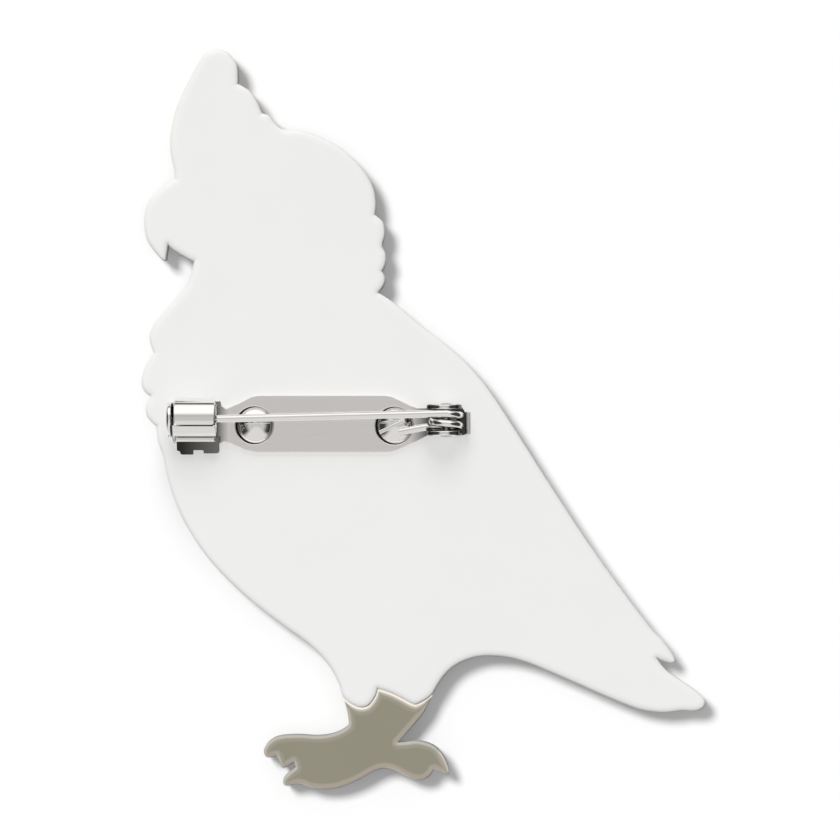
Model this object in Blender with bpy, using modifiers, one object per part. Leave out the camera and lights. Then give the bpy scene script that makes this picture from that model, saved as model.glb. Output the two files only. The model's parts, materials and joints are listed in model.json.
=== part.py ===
"""Cockatoo brooch: a layered acrylic bird, lying on its face, with a locking bar pin fixed to its back.

Frame: +Z points out of the brooch's back, +Y towards the crest, +X towards the tail. The origin lies under
the middle of the bird, on the surface that the brooch rests on. All sizes are millimetres, turned into
metres by MM where a mesh is made.
"""

import math

import bmesh
import bpy
from mathutils import Matrix, Vector

MM = 0.001

# --- Layers of the bird, from the face up -------------------------------------------------------------
FACE_T = 1.2  # overlays on the face, which the brooch rests on
GLUE_LINE = 0.05  # left between two layers that are glued flat together
BASE_T = 3.0  # the thick layer that carries the pin
BASE_LOW = FACE_T + GLUE_LINE
BASE_TOP = BASE_LOW + BASE_T
LEG_STEP = 0.2  # the leg's back lies this much under the body's
SEAM_GAP = 0.12  # between the body's feathered edge and the leg
BODY_RIM = 0.8  # radius of the polished edge on the back
LEG_RIM = 0.5
FACE_RIM = 0.3
RIM_STEPS = 3

# --- Bar pin, stamped from one sheet -------------------------------------------------------------------
SHEET = 0.5
PLATE_LOW = BASE_TOP + GLUE_LINE
PLATE_TOP = PLATE_LOW + SHEET
PLATE_MIDDLE = PLATE_LOW + SHEET / 2
PLATE_END_X = 4.28
HOLE_R = 2.0
HOLES = [(-17.96, -0.67), (-3.18, -0.71)]
STUD_CLEAR = 0.03
STUD_EDGE = 0.42  # how far each stud's edge lies under the plate's top
STUD_CROWN = 0.12  # and how far its middle stands over it
HOLE_SIDES = 32
STUD_SIDES = 24
STUD_STEPS = 6

# --- Hinge of the needle -------------------------------------------------------------------------------
WIRE = 0.82
COIL_R = 1.475  # to the middle of the wire
COIL_CLEAR = 0.14  # under the coil
HINGE_X = 2.29
HINGE_Z = PLATE_TOP + COIL_CLEAR + COIL_R + WIRE / 2
EAR_X = 2.08  # the middle of each ear's round top
EAR_R = 1.85
EAR_INNER = (1.03, -1.25)  # inner faces, towards the crest and towards the feet
PIN_R = 0.45
PIN_CLEAR = 0.06
RIVET_HEAD_R = 0.68
RIVET_HEAD_T = 0.2
RIVET_BEVEL = 0.17
RIVET_GAP = 0.03  # under each head
PIN_SIDES = 16
ARCH_STEPS = 14
COIL_STEPS = 16  # in a turn
STRAND_Y = (0.58, -0.48)  # the wire each time it passes over the pin
TAIL_Y = -0.81  # and where it leaves under it
TAIL_BEND = (0.2, -0.83)  # past the ears the tail turns a little towards the feet
TAIL_END = (-2.68, -1.38)
TAIL_GAP_TURN = 0.035  # of a turn, cut out where the needle's wire ends and the spring's tail begins
STOP_END_X = 4.85
STOP_RISE = 2.1
STOP_Y = (0.73, -1.63)
STOP_T = 0.49  # just under the plate's, so that no two faces share a plane
STOP_STEPS = 4

# --- Catch: a fixed trough on an upright lug, inside a sleeve that turns --------------------------------
CATCH_Y = -0.07
SLEEVE_R = 2.33  # outside
SLEEVE_T = 0.45
SLEEVE_CLEAR = 0.13  # over the plate
CATCH_Z = PLATE_TOP + SLEEVE_CLEAR + SLEEVE_R
SLEEVE_X = (-26.26, -21.97)
SLEEVE_EDGE = 104  # degrees from +Y over the crown, where the sleeve's sheet begins
SLEEVE_END = -180  # and where it ends, level with its axis
SLEEVE_CORNER = 0.35
SLEEVE_CORNER_STEPS = 4
SLEEVE_STEPS = 19
TAB_X = (-26.1, -21.6)
TAB_T = 0.4
TAB_ROOT = -150  # degrees: where the tab leaves the sleeve
TAB_TIP = (-3.7, 5.1)  # its lower edge, in Y and Z
TAB_STATIONS = ((0.0, 0.0), (0.72, 0.0), (0.86, 0.12), (1.0, 0.5))  # share of its fall, trim of each end
TROUGH_R = 1.8
TROUGH_T = 0.35
TROUGH_ARC = (112, 345)
TROUGH_STEPS = 18
TROUGH_END_X = -21.88
LUG_X = (-27.08, -26.56)
LUG_MIDDLE = (LUG_X[0] + LUG_X[1]) / 2
LUG_Y = 0.03
LUG_R = 1.76

# --- Needle --------------------------------------------------------------------------------------------
NEEDLE_MOUTH = (-22.05, 0.0)  # where it goes into the catch
NEEDLE_STATIONS = [-24.6, -23.69, -22.0, -11.0]  # X, from its tip to where it is straight and round
NEEDLE_RADII = [0.08, 0.55, 1.0, 1.0]  # shares of the wire's radius

# --- How finely outlines are drawn ---------------------------------------------------------------------
OUTLINE_TOLERANCE = 0.02
SPLINE_STEPS = 12
TINY = 1e-12
WELD = 1e-7  # metres: points closer than this are one
SCREW_WELD = 1e-6
INSET_REACH = 0.3  # the sharpest corner that an inset still follows, as the cosine of half its turn
INSET_KEPT = 0.97  # an inset point counts if it lies this share of the depth from every side

# --- Outline of the bird, seen from the back: smooth stretches that meet at corners ----------------------
CREST = [
    (-26.4, 25.4), (-26.45, 26.2), (-26.85, 28.2), (-26.85, 30.2), (-26.25, 33.0), (-25.05, 35.6),
    (-23.6, 38.25), (-22.7, 38.95), (-21.8, 39.1), (-20.85, 38.8), (-20.15, 38.05), (-19.75, 37.2),
    (-19.7, 35.45),
]
CREST_SCALLOPS = [
    [(-19.7, 35.45), (-18.45, 34.7), (-17.7, 33.6), (-17.15, 32.35)],
    [(-17.15, 32.35), (-16.4, 32.1), (-15.95, 31.5), (-15.25, 30.8)],
]
HEAD = [
    (-15.25, 30.8), (-12.7, 30.45), (-10.65, 29.7), (-8.9, 28.75), (-7.6, 27.6), (-6.2, 26.0), (-5.4, 24.5),
    (-5.1, 22.9), (-5.2, 21.6),
]
NAPE_SCALLOPS = [
    [(-5.2, 21.6), (-4.35, 20.8), (-4.15, 19.6), (-4.4, 18.15)],
    [(-4.4, 18.15), (-4.05, 17.4), (-4.1, 16.4), (-4.45, 15.6)],
    [(-4.45, 15.6), (-4.15, 14.95), (-4.25, 14.2), (-4.85, 13.35)],
]
BACK = [
    (-4.85, 13.35), (-3.15, 12.25), (-0.45, 9.95), (1.7, 8.35), (4.2, 6.15), (6.25, 3.85), (8.35, 0.85),
    (12.9, -6.3), (18.4, -14.6), (23.7, -21.75), (25.2, -23.4), (26.0, -24.5), (26.5, -25.3), (26.5, -25.75),
    (25.95, -25.85), (24.65, -25.35),
]
TAIL = [
    (24.65, -25.35), (25.6, -26.6), (27.05, -27.6), (28.6, -28.75), (29.45, -29.4), (29.75, -30.0),
    (29.5, -30.6), (28.65, -30.95), (27.4, -30.9), (26.2, -31.05), (25.0, -31.1), (23.5, -30.9),
    (21.6, -30.35), (16.7, -28.25), (12.65, -26.5), (10.6, -25.7), (8.5, -25.2), (5.9, -25.15), (3.85, -25.8),
    (2.5, -26.75), (1.6, -27.9), (0.8, -29.25),
]
LEG_BACK = [(0.8, -29.25), (0.0, -31.0), (-1.2, -32.45), (-2.3, -33.75), (-2.75, -34.25)]
REAR_TOE = [
    (-2.75, -34.25), (-1.8, -34.2), (-0.7, -34.1), (0.8, -34.5), (1.75, -35.3), (2.4, -36.45), (2.65, -37.4),
    (2.45, -37.65), (1.9, -37.45), (1.0, -37.15),
]
SOLE = [
    (1.0, -37.15), (0.5, -37.85), (-0.45, -38.25), (-1.65, -38.0), (-3.15, -37.25), (-4.2, -37.0),
    (-5.3, -37.3), (-6.9, -38.2), (-8.6, -38.9), (-10.05, -39.2), (-11.8, -39.15), (-13.15, -38.7),
    (-14.1, -38.8), (-14.8, -38.8), (-14.95, -38.2), (-14.5, -37.6), (-13.65, -36.9),
]
MIDDLE_TOE = [(-13.65, -36.9), (-13.8, -36.35)]
MIDDLE_CLAW = [(-13.8, -36.35), (-14.9, -36.95), (-15.3, -36.5), (-15.6, -35.7)]
FRONT_TOE = [
    (-15.6, -35.7), (-16.6, -35.85), (-16.95, -35.45), (-16.95, -34.9), (-16.4, -34.15), (-15.35, -33.6),
    (-13.4, -33.45), (-11.05, -33.55), (-9.4, -33.25), (-8.25, -32.65), (-8.0, -32.1), (-8.3, -30.45),
    (-8.6, -29.4),
]
BELLY = [
    (-8.6, -29.4), (-9.0, -28.15), (-9.9, -26.4), (-11.0, -25.0), (-12.45, -23.65), (-14.35, -22.3),
    (-16.7, -20.55), (-19.15, -18.55), (-21.6, -16.2), (-23.75, -13.6), (-25.6, -10.5), (-26.7, -7.85),
    (-27.3, -5.7), (-27.65, -3.9), (-28.2, -2.35), (-28.35, -0.8),
]
BREAST_SCALLOPS = [
    [(-28.35, -0.8), (-29.25, 0.1), (-29.5, 1.2), (-29.0, 2.4)],
    [(-29.0, 2.4), (-29.65, 2.95), (-29.95, 3.95), (-29.6, 5.4), (-28.65, 7.0)],
    [(-28.65, 7.0), (-28.95, 7.8), (-29.1, 8.6), (-28.9, 9.5), (-28.15, 10.6), (-26.15, 12.95),
     (-25.2, 14.15), (-24.65, 15.5), (-24.4, 16.65)],
]
LOWER_BEAK = [(-24.4, 16.65), (-24.9, 16.9), (-25.85, 17.45), (-26.65, 18.0), (-27.1, 18.4)]
BEAK_HOOK = [(-27.1, 18.4), (-27.25, 17.4), (-27.35, 16.75)]
UPPER_BEAK = [
    (-27.35, 16.75), (-27.85, 16.95), (-28.7, 17.9), (-29.35, 18.95), (-29.65, 20.45), (-29.55, 21.95),
    (-29.15, 23.05), (-28.3, 24.1), (-27.3, 24.85), (-26.4, 25.4),
]
# The lower edge of the body's feathers over the leg, from the belly to the tail.
FEATHER_EDGE = [
    [(-8.6, -29.4), (-7.95, -30.1), (-6.85, -30.6), (-5.9, -30.4), (-5.2, -29.5), (-4.9, -28.65)],
    [(-4.9, -28.65), (-3.75, -29.0), (-2.3, -29.7), (-1.05, -30.3), (-0.35, -30.0), (0.8, -29.25)],
]

# --- Overlays on the face: smooth outlines, and feathers as (root, tip, bow, width) -----------------------
BEAK_OVERLAY = [
    (-26.0, 24.3), (-27.8, 23.1), (-28.7, 20.6), (-27.9, 18.4), (-26.8, 18.9), (-25.2, 18.2), (-24.2, 19.6),
    (-24.6, 22.4),
]
CHEEK_PLACE = (-14.8, 18.6)
CHEEK_R = 2.3
CHEEK_SIDES = 24
EYE_PLACE = (-20.3, 22.6)
EYE_R = 1.5
EYE_SIDES = 20
COVERTS_OVERLAY = [
    (-1.7, 9.2), (-6.2, 11.6), (-12.4, 9.8), (-16.8, 5.4), (-18.6, -0.6), (-16.9, -4.6), (-14.6, -2.9),
    (-12.8, -0.3), (-10.4, 1.7), (-7.4, 3.5), (-4.3, 5.3), (-1.9, 6.9),
]
BREAST_OVERLAY = [
    (-27.2, 9.2), (-23.6, 13.2), (-19.4, 10.4), (-20.8, 3.0), (-23.4, -2.2), (-26.8, -2.0), (-28.3, 3.6),
]
FOOT_OVERLAY = [
    (-7.2, -31.6), (-2.6, -31.8), (-3.4, -34.4), (0.2, -34.9), (1.4, -36.4), (-0.6, -37.2), (-4.2, -35.9),
    (-8.6, -37.7), (-11.8, -38.1), (-13.2, -36.0), (-15.9, -34.9), (-13.2, -34.2), (-9.0, -34.1),
]
CREST_PLUMES = [
    ((-24.7, 27.0), (-22.1, 37.9), 1.0, 3.0),
    ((-21.8, 27.4), (-19.1, 34.3), 0.6, 2.7),
    ((-19.0, 27.6), (-16.9, 31.2), 0.4, 2.3),
]
WING_FEATHERS = [
    ((-0.4, 5.6), (24.0, -24.4), 0.0, 2.9),
    ((-3.5, 4.0), (19.5, -23.6), 0.0, 2.9),
    ((-6.6, 2.4), (14.5, -22.2), 0.0, 2.9),
    ((-9.6, 0.6), (9.0, -20.4), 0.0, 2.8),
    ((-12.4, -1.6), (3.2, -18.0), 0.0, 2.7),
]
TAIL_FEATHER = ((11.5, -24.4), (28.4, -29.9), 0.0, 2.2)
FEATHER_SHARES = (0.0, 0.1, 0.3, 0.55, 0.78, 0.93, 1.0)
LEAF_SKEW = 0.8  # under 1, the feather is widest nearer its root
LEAF_FULLNESS = 0.6  # under 1, it keeps its width for longer

# --- Outline of the pin's base plate, straight between its points ---------------------------------------
PLATE_OUTLINE = [
    (-27.08, 1.78), (-26.6, 1.8), (-26.4, 1.84), (-21.9, 1.84), (-21.55, 1.9), (-21.45, 1.4), (-20.95, 1.08),
    (-19.5, 1.72), (-18.4, 2.3), (-17.7, 2.5), (-4.1, 2.5), (-3.45, 2.38), (-2.57, 1.98), (-1.3, 1.36),
    (-0.78, 1.14), (0.3, 1.12), (0.3, 1.53), (3.8, 1.53), (PLATE_END_X, 0.76), (PLATE_END_X, -1.66),
    (3.8, -1.75), (0.3, -1.75), (-1.5, -2.72), (-3.05, -3.4), (-3.7, -3.56), (-17.8, -3.56), (-18.9, -3.32),
    (-20.3, -2.7), (-21.15, -2.38), (-21.7, -2.65), (-26.4, -2.65), (-26.65, -1.95), (-27.08, -1.9),
]

ACRYLIC_WHITE = ((0.85, 0.85, 0.84), 0.22, 0.0)
ACRYLIC_LEG = ((0.28, 0.27, 0.21), 0.25, 0.0)
ACRYLIC_CREST = ((0.83, 0.62, 0.08), 0.25, 0.0)
ACRYLIC_DARK = ((0.05, 0.05, 0.055), 0.2, 0.0)
ACRYLIC_PEARL = ((0.74, 0.75, 0.76), 0.25, 0.0)
ACRYLIC_CHEEK = ((0.86, 0.76, 0.42), 0.25, 0.0)
NICKEL = ((0.62, 0.60, 0.58), 0.2, 1.0)


# --- Outlines -------------------------------------------------------------------------------------------
def spline_point(p0, p1, p2, p3, t):
    """A point between p1 and p2 on the Catmull-Rom curve through four points."""
    slope = p2 - p0
    bend = 2 * p0 - 5 * p1 + 4 * p2 - p3
    twist = 3 * p1 - p0 - 3 * p2 + p3
    return p1 + 0.5 * (slope * t + bend * t ** 2 + twist * t ** 3)


def thinned(points, tolerance):
    """The points of a line without those closer than the tolerance to a straight run."""
    if len(points) < 3:
        return points
    chord = points[-1] - points[0]
    gaps = []
    for point in points[1:-1]:
        reach = point - points[0]
        along = max(0.0, min(1.0, reach.dot(chord) / max(chord.length_squared, TINY)))
        gaps.append((reach - chord * along).length)
    worst = max(range(len(gaps)), key=gaps.__getitem__)
    if gaps[worst] <= tolerance:
        return [points[0], points[-1]]
    split = worst + 1
    return thinned(points[: split + 1], tolerance)[:-1] + thinned(points[split:], tolerance)


def smooth_stretch(pairs):
    """A smooth line through the points, from the first to the last."""
    knots = [Vector(pair) for pair in pairs]
    knots = [2 * knots[0] - knots[1]] + knots + [2 * knots[-1] - knots[-2]]
    line = []
    for four in zip(knots, knots[1:], knots[2:], knots[3:]):
        line += [spline_point(*four, step / SPLINE_STEPS) for step in range(SPLINE_STEPS)]
    return thinned(line + [knots[-2]], OUTLINE_TOLERANCE)


def smooth_loop(pairs):
    """A smooth closed line through the points."""
    knots = [Vector(pair) for pair in pairs]
    count = len(knots)
    line = []
    for i in range(count):
        four = [knots[(i + offset) % count] for offset in (-1, 0, 1, 2)]
        line += [spline_point(*four, step / SPLINE_STEPS) for step in range(SPLINE_STEPS)]
    middle = len(line) // 2
    halves = (line[: middle + 1], line[middle:] + line[:1])
    return [point for half in halves for point in thinned(half, OUTLINE_TOLERANCE)[:-1]]


def chain(stretches):
    """One closed line of smooth stretches, each starting where the one before it ends."""
    line = []
    for stretch in stretches:
        line += smooth_stretch(stretch)[:-1]
    return line


def shifted(stretches, dy):
    return [[(x, y + dy) for x, y in stretch] for stretch in stretches]


def reversed_stretches(stretches):
    return [stretch[::-1] for stretch in stretches[::-1]]


def body_outline():
    seam = reversed_stretches(shifted(FEATHER_EDGE, SEAM_GAP / 2))
    crest = [CREST] + CREST_SCALLOPS
    rear = [HEAD] + NAPE_SCALLOPS + [BACK, TAIL]
    front = [BELLY] + BREAST_SCALLOPS + [LOWER_BEAK, BEAK_HOOK, UPPER_BEAK]
    return chain(crest + rear + seam + front)


def leg_outline():
    foot = [LEG_BACK, REAR_TOE, SOLE, MIDDLE_TOE, MIDDLE_CLAW, FRONT_TOE]
    return chain(foot + shifted(FEATHER_EDGE, -SEAM_GAP / 2))


def circle(centre, radius, steps):
    turns = [2 * math.pi * step / steps for step in range(steps)]
    return [Vector((centre[0] + radius * math.cos(a), centre[1] + radius * math.sin(a))) for a in turns]


def feather(root, tip, bow, width):
    """A leaf-shaped feather from its root to its tip, its middle bowed to the left of the way it points."""
    root, axis = Vector(root), Vector(tip) - Vector(root)
    left = Vector((-axis.y, axis.x)).normalized()
    sides = []
    for side in (1, -1):
        line = []
        for share in FEATHER_SHARES:
            half = width / 2 * max(0.0, math.sin(math.pi * share ** LEAF_SKEW)) ** LEAF_FULLNESS
            line.append(root + axis * share + left * (bow * 4 * share * (1 - share) + side * half))
        sides.append(line)
    return smooth_loop(sides[0] + sides[1][-2:0:-1])


def signed_area(line):
    return sum(a.x * b.y - b.x * a.y for a, b in zip(line, line[1:] + line[:1])) / 2


def distance_to_line(point, line):
    """From a point to the nearest side of a closed line."""
    nearest = math.inf
    for a, b in zip(line, line[1:] + line[:1]):
        side = b - a
        along = max(0.0, min(1.0, (point - a).dot(side) / max(side.length_squared, TINY)))
        nearest = min(nearest, (point - a - side * along).length)
    return nearest


def inset(line, depth):
    """The closed line (anticlockwise) moved inwards, with points that would cross gathered into one."""
    if depth == 0:
        return list(line)
    moved, kept = [], []
    for before, here, after in zip(line[-1:] + line[:-1], line, line[1:] + line[:1]):
        into, out = (here - before).normalized(), (after - here).normalized()
        normal = Vector((-into.y - out.y, into.x + out.x)).normalized()
        lean = max(INSET_REACH, normal.dot(Vector((-out.y, out.x))))
        moved.append(here + normal * depth / lean)
        kept.append(distance_to_line(moved[-1], line) > depth * INSET_KEPT)
    count = len(line)
    start = kept.index(True)
    place = start
    while place < start + count:
        if kept[place % count]:
            place += 1
            continue
        end = place
        while not kept[end % count]:
            end += 1
        meeting = (moved[(place - 1) % count] + moved[end % count]) / 2
        for i in range(place - 1, end + 1):
            moved[i % count] = meeting
        place = end + 1
    return moved


# --- Makers ---------------------------------------------------------------------------------------------
def material(name, look):
    colour, roughness, metallic = look
    made = bpy.data.materials.get(name) or bpy.data.materials.new(name)
    made.use_nodes = True
    shader = made.node_tree.nodes["Principled BSDF"]
    shader.inputs["Base Color"].default_value = (*colour, 1.0)
    shader.inputs["Roughness"].default_value = roughness
    shader.inputs["Metallic"].default_value = metallic
    return made


def finish(obj, look, smooth_angle=35):
    obj.data.materials.clear()
    obj.data.materials.append(material(obj.name + "_finish", look))
    if obj.type == "MESH":
        obj.data.shade_smooth()
        obj.data.set_sharp_from_angle(angle=math.radians(smooth_angle))
    return obj


def mesh_object(name, bm, collection):
    bmesh.ops.remove_doubles(bm, verts=bm.verts, dist=WELD)
    bmesh.ops.recalc_face_normals(bm, faces=bm.faces)
    mesh = bpy.data.meshes.new(name)
    bm.to_mesh(mesh)
    bm.free()
    obj = bpy.data.objects.new(name, mesh)
    collection.objects.link(obj)
    return obj


def lofted(name, outline, levels, look, collection):
    """A flat piece whose wall runs through insets of its outline: each level is (inset, height)."""
    line = outline if signed_area(outline) > 0 else outline[::-1]
    bm = bmesh.new()
    rings = []
    for depth, z in levels:
        rings.append([bm.verts.new((p.x * MM, p.y * MM, z * MM)) for p in inset(line, depth)])
    for lower, upper in zip(rings, rings[1:]):
        for a, b, c, d in zip(lower, lower[1:] + lower[:1], upper[1:] + upper[:1], upper):
            bm.faces.new((a, b, c, d))
    bm.faces.new(rings[0][::-1])
    bm.faces.new(rings[-1])
    return finish(mesh_object(name, bm, collection), look)


def flat_piece(name, outlines, thickness, collection):
    """A flat plate from a 2D curve: the first outline is its edge and the others are holes."""
    curve = bpy.data.curves.new(name, "CURVE")
    curve.dimensions = "2D"
    curve.fill_mode = "BOTH"
    curve.extrude = thickness / 2 * MM
    for outline in outlines:
        line = curve.splines.new("POLY")
        line.points.add(len(outline) - 1)
        for point, place in zip(line.points, outline):
            point.co = (place[0] * MM, place[1] * MM, 0, 1)
        line.use_cyclic_u = True
    return as_mesh(bpy.data.objects.new(name, curve), collection)


def as_mesh(obj, collection):
    """A mesh object in place of a curve, with its caps welded."""
    collection.objects.link(obj)
    bpy.context.view_layer.update()
    evaluated = obj.evaluated_get(bpy.context.evaluated_depsgraph_get())
    mesh = bpy.data.meshes.new_from_object(evaluated)
    name, place = obj.name, obj.matrix_world.copy()
    bpy.data.objects.remove(obj)
    bm = bmesh.new()
    bm.from_mesh(mesh)
    bmesh.ops.remove_doubles(bm, verts=bm.verts, dist=WELD)
    bmesh.ops.recalc_face_normals(bm, faces=bm.faces)
    bm.to_mesh(mesh)
    bm.free()
    made = bpy.data.objects.new(name, mesh)
    made.matrix_world = place
    collection.objects.link(made)
    return made


def rolled_sheet(name, stations, thickness, collection):
    """Sheet bent round the X axis: each station is (y, z, low x, high x)."""
    bm = bmesh.new()
    rows = []
    for y, z, x_low, x_high in stations:
        rows.append([bm.verts.new((x * MM, y * MM, z * MM)) for x in (x_low, x_high)])
    for (a, b), (d, c) in zip(rows, rows[1:]):
        bm.faces.new((a, b, c, d))
    obj = mesh_object(name, bm, collection)
    thicken(obj, thickness)
    return obj


def thicken(obj, thickness):
    solid = obj.modifiers.new("thickness", "SOLIDIFY")
    solid.thickness = thickness * MM
    solid.offset = 0
    solid.use_even_offset = True


def wire(name, path, radii, collection):
    """A round wire along a path, narrowed where its radii fall."""
    curve = bpy.data.curves.new(name, "CURVE")
    curve.dimensions = "3D"
    curve.bevel_depth = WIRE / 2 * MM
    curve.bevel_resolution = 2
    curve.use_fill_caps = True
    line = curve.splines.new("POLY")
    line.points.add(len(path) - 1)
    for point, place, radius in zip(line.points, path, radii):
        point.co = (*(place * MM), 1)
        point.radius = radius
    obj = bpy.data.objects.new(name, curve)
    collection.objects.link(obj)
    return obj


def turned(name, profile, place, axis_turn, steps, collection):
    """A turned solid: a profile of (radius, height) from its top down, swept round its own Z."""
    bm = bmesh.new()
    points = [bm.verts.new((radius * MM, 0, height * MM)) for radius, height in profile]
    for a, b in zip(points, points[1:]):
        bm.edges.new((a, b))
    mesh = bpy.data.meshes.new(name)
    bm.to_mesh(mesh)
    bm.free()
    obj = bpy.data.objects.new(name, mesh)
    collection.objects.link(obj)
    obj.location = Vector(place) * MM
    obj.rotation_euler = axis_turn
    screw = obj.modifiers.new("turn", "SCREW")
    screw.steps = steps
    screw.render_steps = steps
    screw.use_merge_vertices = True
    screw.merge_threshold = SCREW_WELD
    return obj


def join(base, others):
    """Others united with base, each by an applied Boolean."""
    for other in others:
        union = base.modifiers.new("join", "BOOLEAN")
        union.operation = "UNION"
        union.solver = "EXACT"
        union.object = other
        bpy.context.view_layer.update()
        evaluated = base.evaluated_get(bpy.context.evaluated_depsgraph_get())
        mesh = bpy.data.meshes.new_from_object(evaluated)
        base.modifiers.clear()
        base.data = mesh
        bpy.data.objects.remove(other)
    return base


# --- Pieces ---------------------------------------------------------------------------------------------
def base_layer(name, outline, top, rim, look, bird):
    """A thick layer with a bevelled edge on its face and a rounded one on its back."""
    levels = [(FACE_RIM, BASE_LOW), (0.0, BASE_LOW + FACE_RIM)]
    for step in range(RIM_STEPS + 1):
        angle = math.pi / 2 * step / RIM_STEPS
        levels.append((rim * (1 - math.cos(angle)), top - rim * (1 - math.sin(angle))))
    lofted(name, outline, levels, look, bird)


def overlay(name, outline, look, bird):
    """A thin piece on the face, flat on both sides, with its front edge bevelled."""
    levels = [(FACE_RIM, 0.0), (0.0, FACE_RIM), (0.0, FACE_T)]
    lofted(name, outline, levels, look, bird)


def make_layers(bird):
    base_layer("body_layer", body_outline(), BASE_TOP, BODY_RIM, ACRYLIC_WHITE, bird)
    base_layer("leg_layer", leg_outline(), BASE_TOP - LEG_STEP, LEG_RIM, ACRYLIC_LEG, bird)
    overlay("beak_overlay", smooth_loop(BEAK_OVERLAY), ACRYLIC_DARK, bird)
    overlay("cheek_overlay", circle(CHEEK_PLACE, CHEEK_R, CHEEK_SIDES), ACRYLIC_CHEEK, bird)
    overlay("eye_overlay", circle(EYE_PLACE, EYE_R, EYE_SIDES), ACRYLIC_DARK, bird)
    overlay("wing_coverts", smooth_loop(COVERTS_OVERLAY), ACRYLIC_PEARL, bird)
    overlay("breast_overlay", smooth_loop(BREAST_OVERLAY), ACRYLIC_PEARL, bird)
    overlay("foot_overlay", smooth_loop(FOOT_OVERLAY), ACRYLIC_LEG, bird)
    for number, plume in enumerate(CREST_PLUMES, 1):
        overlay(f"crest_plume_{number}", feather(*plume), ACRYLIC_CREST, bird)
    for number, vane in enumerate(WING_FEATHERS, 1):
        overlay(f"wing_feather_{number}", feather(*vane), ACRYLIC_PEARL, bird)
    overlay("tail_feather", feather(*TAIL_FEATHER), ACRYLIC_PEARL, bird)


def arc(centre, radius, start, end, steps):
    """Points on a circle at angles in degrees, from its first axis towards its second."""
    angles = [math.radians(start + (end - start) * step / steps) for step in range(steps + 1)]
    return [(centre[0] + radius * math.cos(a), centre[1] + radius * math.sin(a)) for a in angles]


def arched(centre, radius, root):
    """The outline of an upright strip with straight sides and a round top."""
    low_right, low_left = (centre[0] + radius, root), (centre[0] - radius, root)
    return [low_right] + arc(centre, radius, 0, 180, ARCH_STEPS) + [low_left]


def ear(name, inner, outward, collection):
    """An upright ear with a round top and a hole for the hinge pin."""
    outline = arched((EAR_X, HINGE_Z), EAR_R, PLATE_MIDDLE)
    hole = circle((HINGE_X, HINGE_Z), PIN_R + PIN_CLEAR, PIN_SIDES)
    plate = flat_piece(name, [outline, hole], SHEET, collection)
    centre = inner + outward * SHEET / 2
    plate.matrix_world = Matrix.Translation((0, centre * MM, 0)) @ Matrix.Rotation(math.pi / 2, 4, "X")
    return plate


def make_lug(collection):
    """The upright that carries the trough: a strip bent up from the plate, with a round top."""
    lug = flat_piece("lug", [arched((LUG_Y, CATCH_Z), LUG_R, PLATE_MIDDLE)], LUG_X[1] - LUG_X[0], collection)
    upright = Matrix(((0, 0, 1, 0), (1, 0, 0, 0), (0, 1, 0, 0), (0, 0, 0, 1)))
    lug.matrix_world = Matrix.Translation((LUG_MIDDLE * MM, 0, 0)) @ upright
    return lug


def make_trough(collection):
    ring = arc((CATCH_Y, CATCH_Z), TROUGH_R - TROUGH_T / 2, *TROUGH_ARC, TROUGH_STEPS)
    stations = [(y, z, LUG_MIDDLE, TROUGH_END_X) for y, z in ring]
    return rolled_sheet("trough", stations, TROUGH_T, collection)


def make_stop(collection):
    """The strip at the plate's tail end, bent up behind the coil."""
    upright_x = STOP_END_X - SHEET / 2
    bend = upright_x - PLATE_END_X
    line = [(PLATE_END_X - SHEET, PLATE_MIDDLE)]
    line += arc((upright_x - bend, PLATE_MIDDLE + bend), bend, -90, 0, STOP_STEPS)
    line.append((upright_x, PLATE_TOP + STOP_RISE))
    bm = bmesh.new()
    rows = [[bm.verts.new((x * MM, y * MM, z * MM)) for y in STOP_Y] for x, z in line]
    for (a, b), (d, c) in zip(rows, rows[1:]):
        bm.faces.new((a, b, c, d))
    obj = mesh_object("stop", bm, collection)
    thicken(obj, STOP_T)
    return obj


def make_plate(bird):
    holes = [circle(place, HOLE_R, HOLE_SIDES) for place in HOLES]
    plate = flat_piece("base_plate", [PLATE_OUTLINE] + holes, SHEET, bird)
    plate.location.z = PLATE_MIDDLE * MM
    others = [
        ear("ear_crest_side", EAR_INNER[0], 1, bird),
        ear("ear_foot_side", EAR_INNER[1], -1, bird),
        make_lug(bird),
        make_trough(bird),
        make_stop(bird),
    ]
    finish(join(plate, others), NICKEL)


def make_studs(bird):
    """The round heads of the two studs that stand in the plate's holes."""
    radius, rise = HOLE_R - STUD_CLEAR, STUD_EDGE + STUD_CROWN
    ball = (radius ** 2 + rise ** 2) / (2 * rise)
    half_turn = math.asin(radius / ball)
    profile = []
    for step in range(STUD_STEPS + 1):
        angle = half_turn * step / STUD_STEPS
        profile.append((ball * math.sin(angle), PLATE_TOP + STUD_CROWN - ball * (1 - math.cos(angle))))
    profile += [(radius, PLATE_LOW), (0, PLATE_LOW)]
    for number, (x, y) in enumerate(HOLES, 1):
        stud = turned(f"stud_{number}", profile, (x, y, 0), (0, 0, 0), STUD_SIDES, bird)
        finish(stud, NICKEL)


def make_rivet(bird):
    """The hinge pin, turned along Y through both ears, with a low bevelled head on each side."""
    face_r, rim_t = RIVET_HEAD_R - RIVET_BEVEL, RIVET_HEAD_T - RIVET_BEVEL / 3
    crest_side = EAR_INNER[0] + SHEET + RIVET_GAP
    foot_side = EAR_INNER[1] - SHEET - RIVET_GAP
    crest_head = [(0, RIVET_HEAD_T), (face_r, rim_t), (RIVET_HEAD_R, 0), (PIN_R, 0)]
    profile = [(radius, crest_side + height) for radius, height in crest_head]
    profile += [(radius, foot_side - height) for radius, height in crest_head[::-1]]
    place, lying = (HINGE_X, 0, HINGE_Z), (-math.pi / 2, 0, 0)
    finish(turned("hinge_rivet", profile, place, lying, PIN_SIDES, bird), NICKEL)


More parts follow.
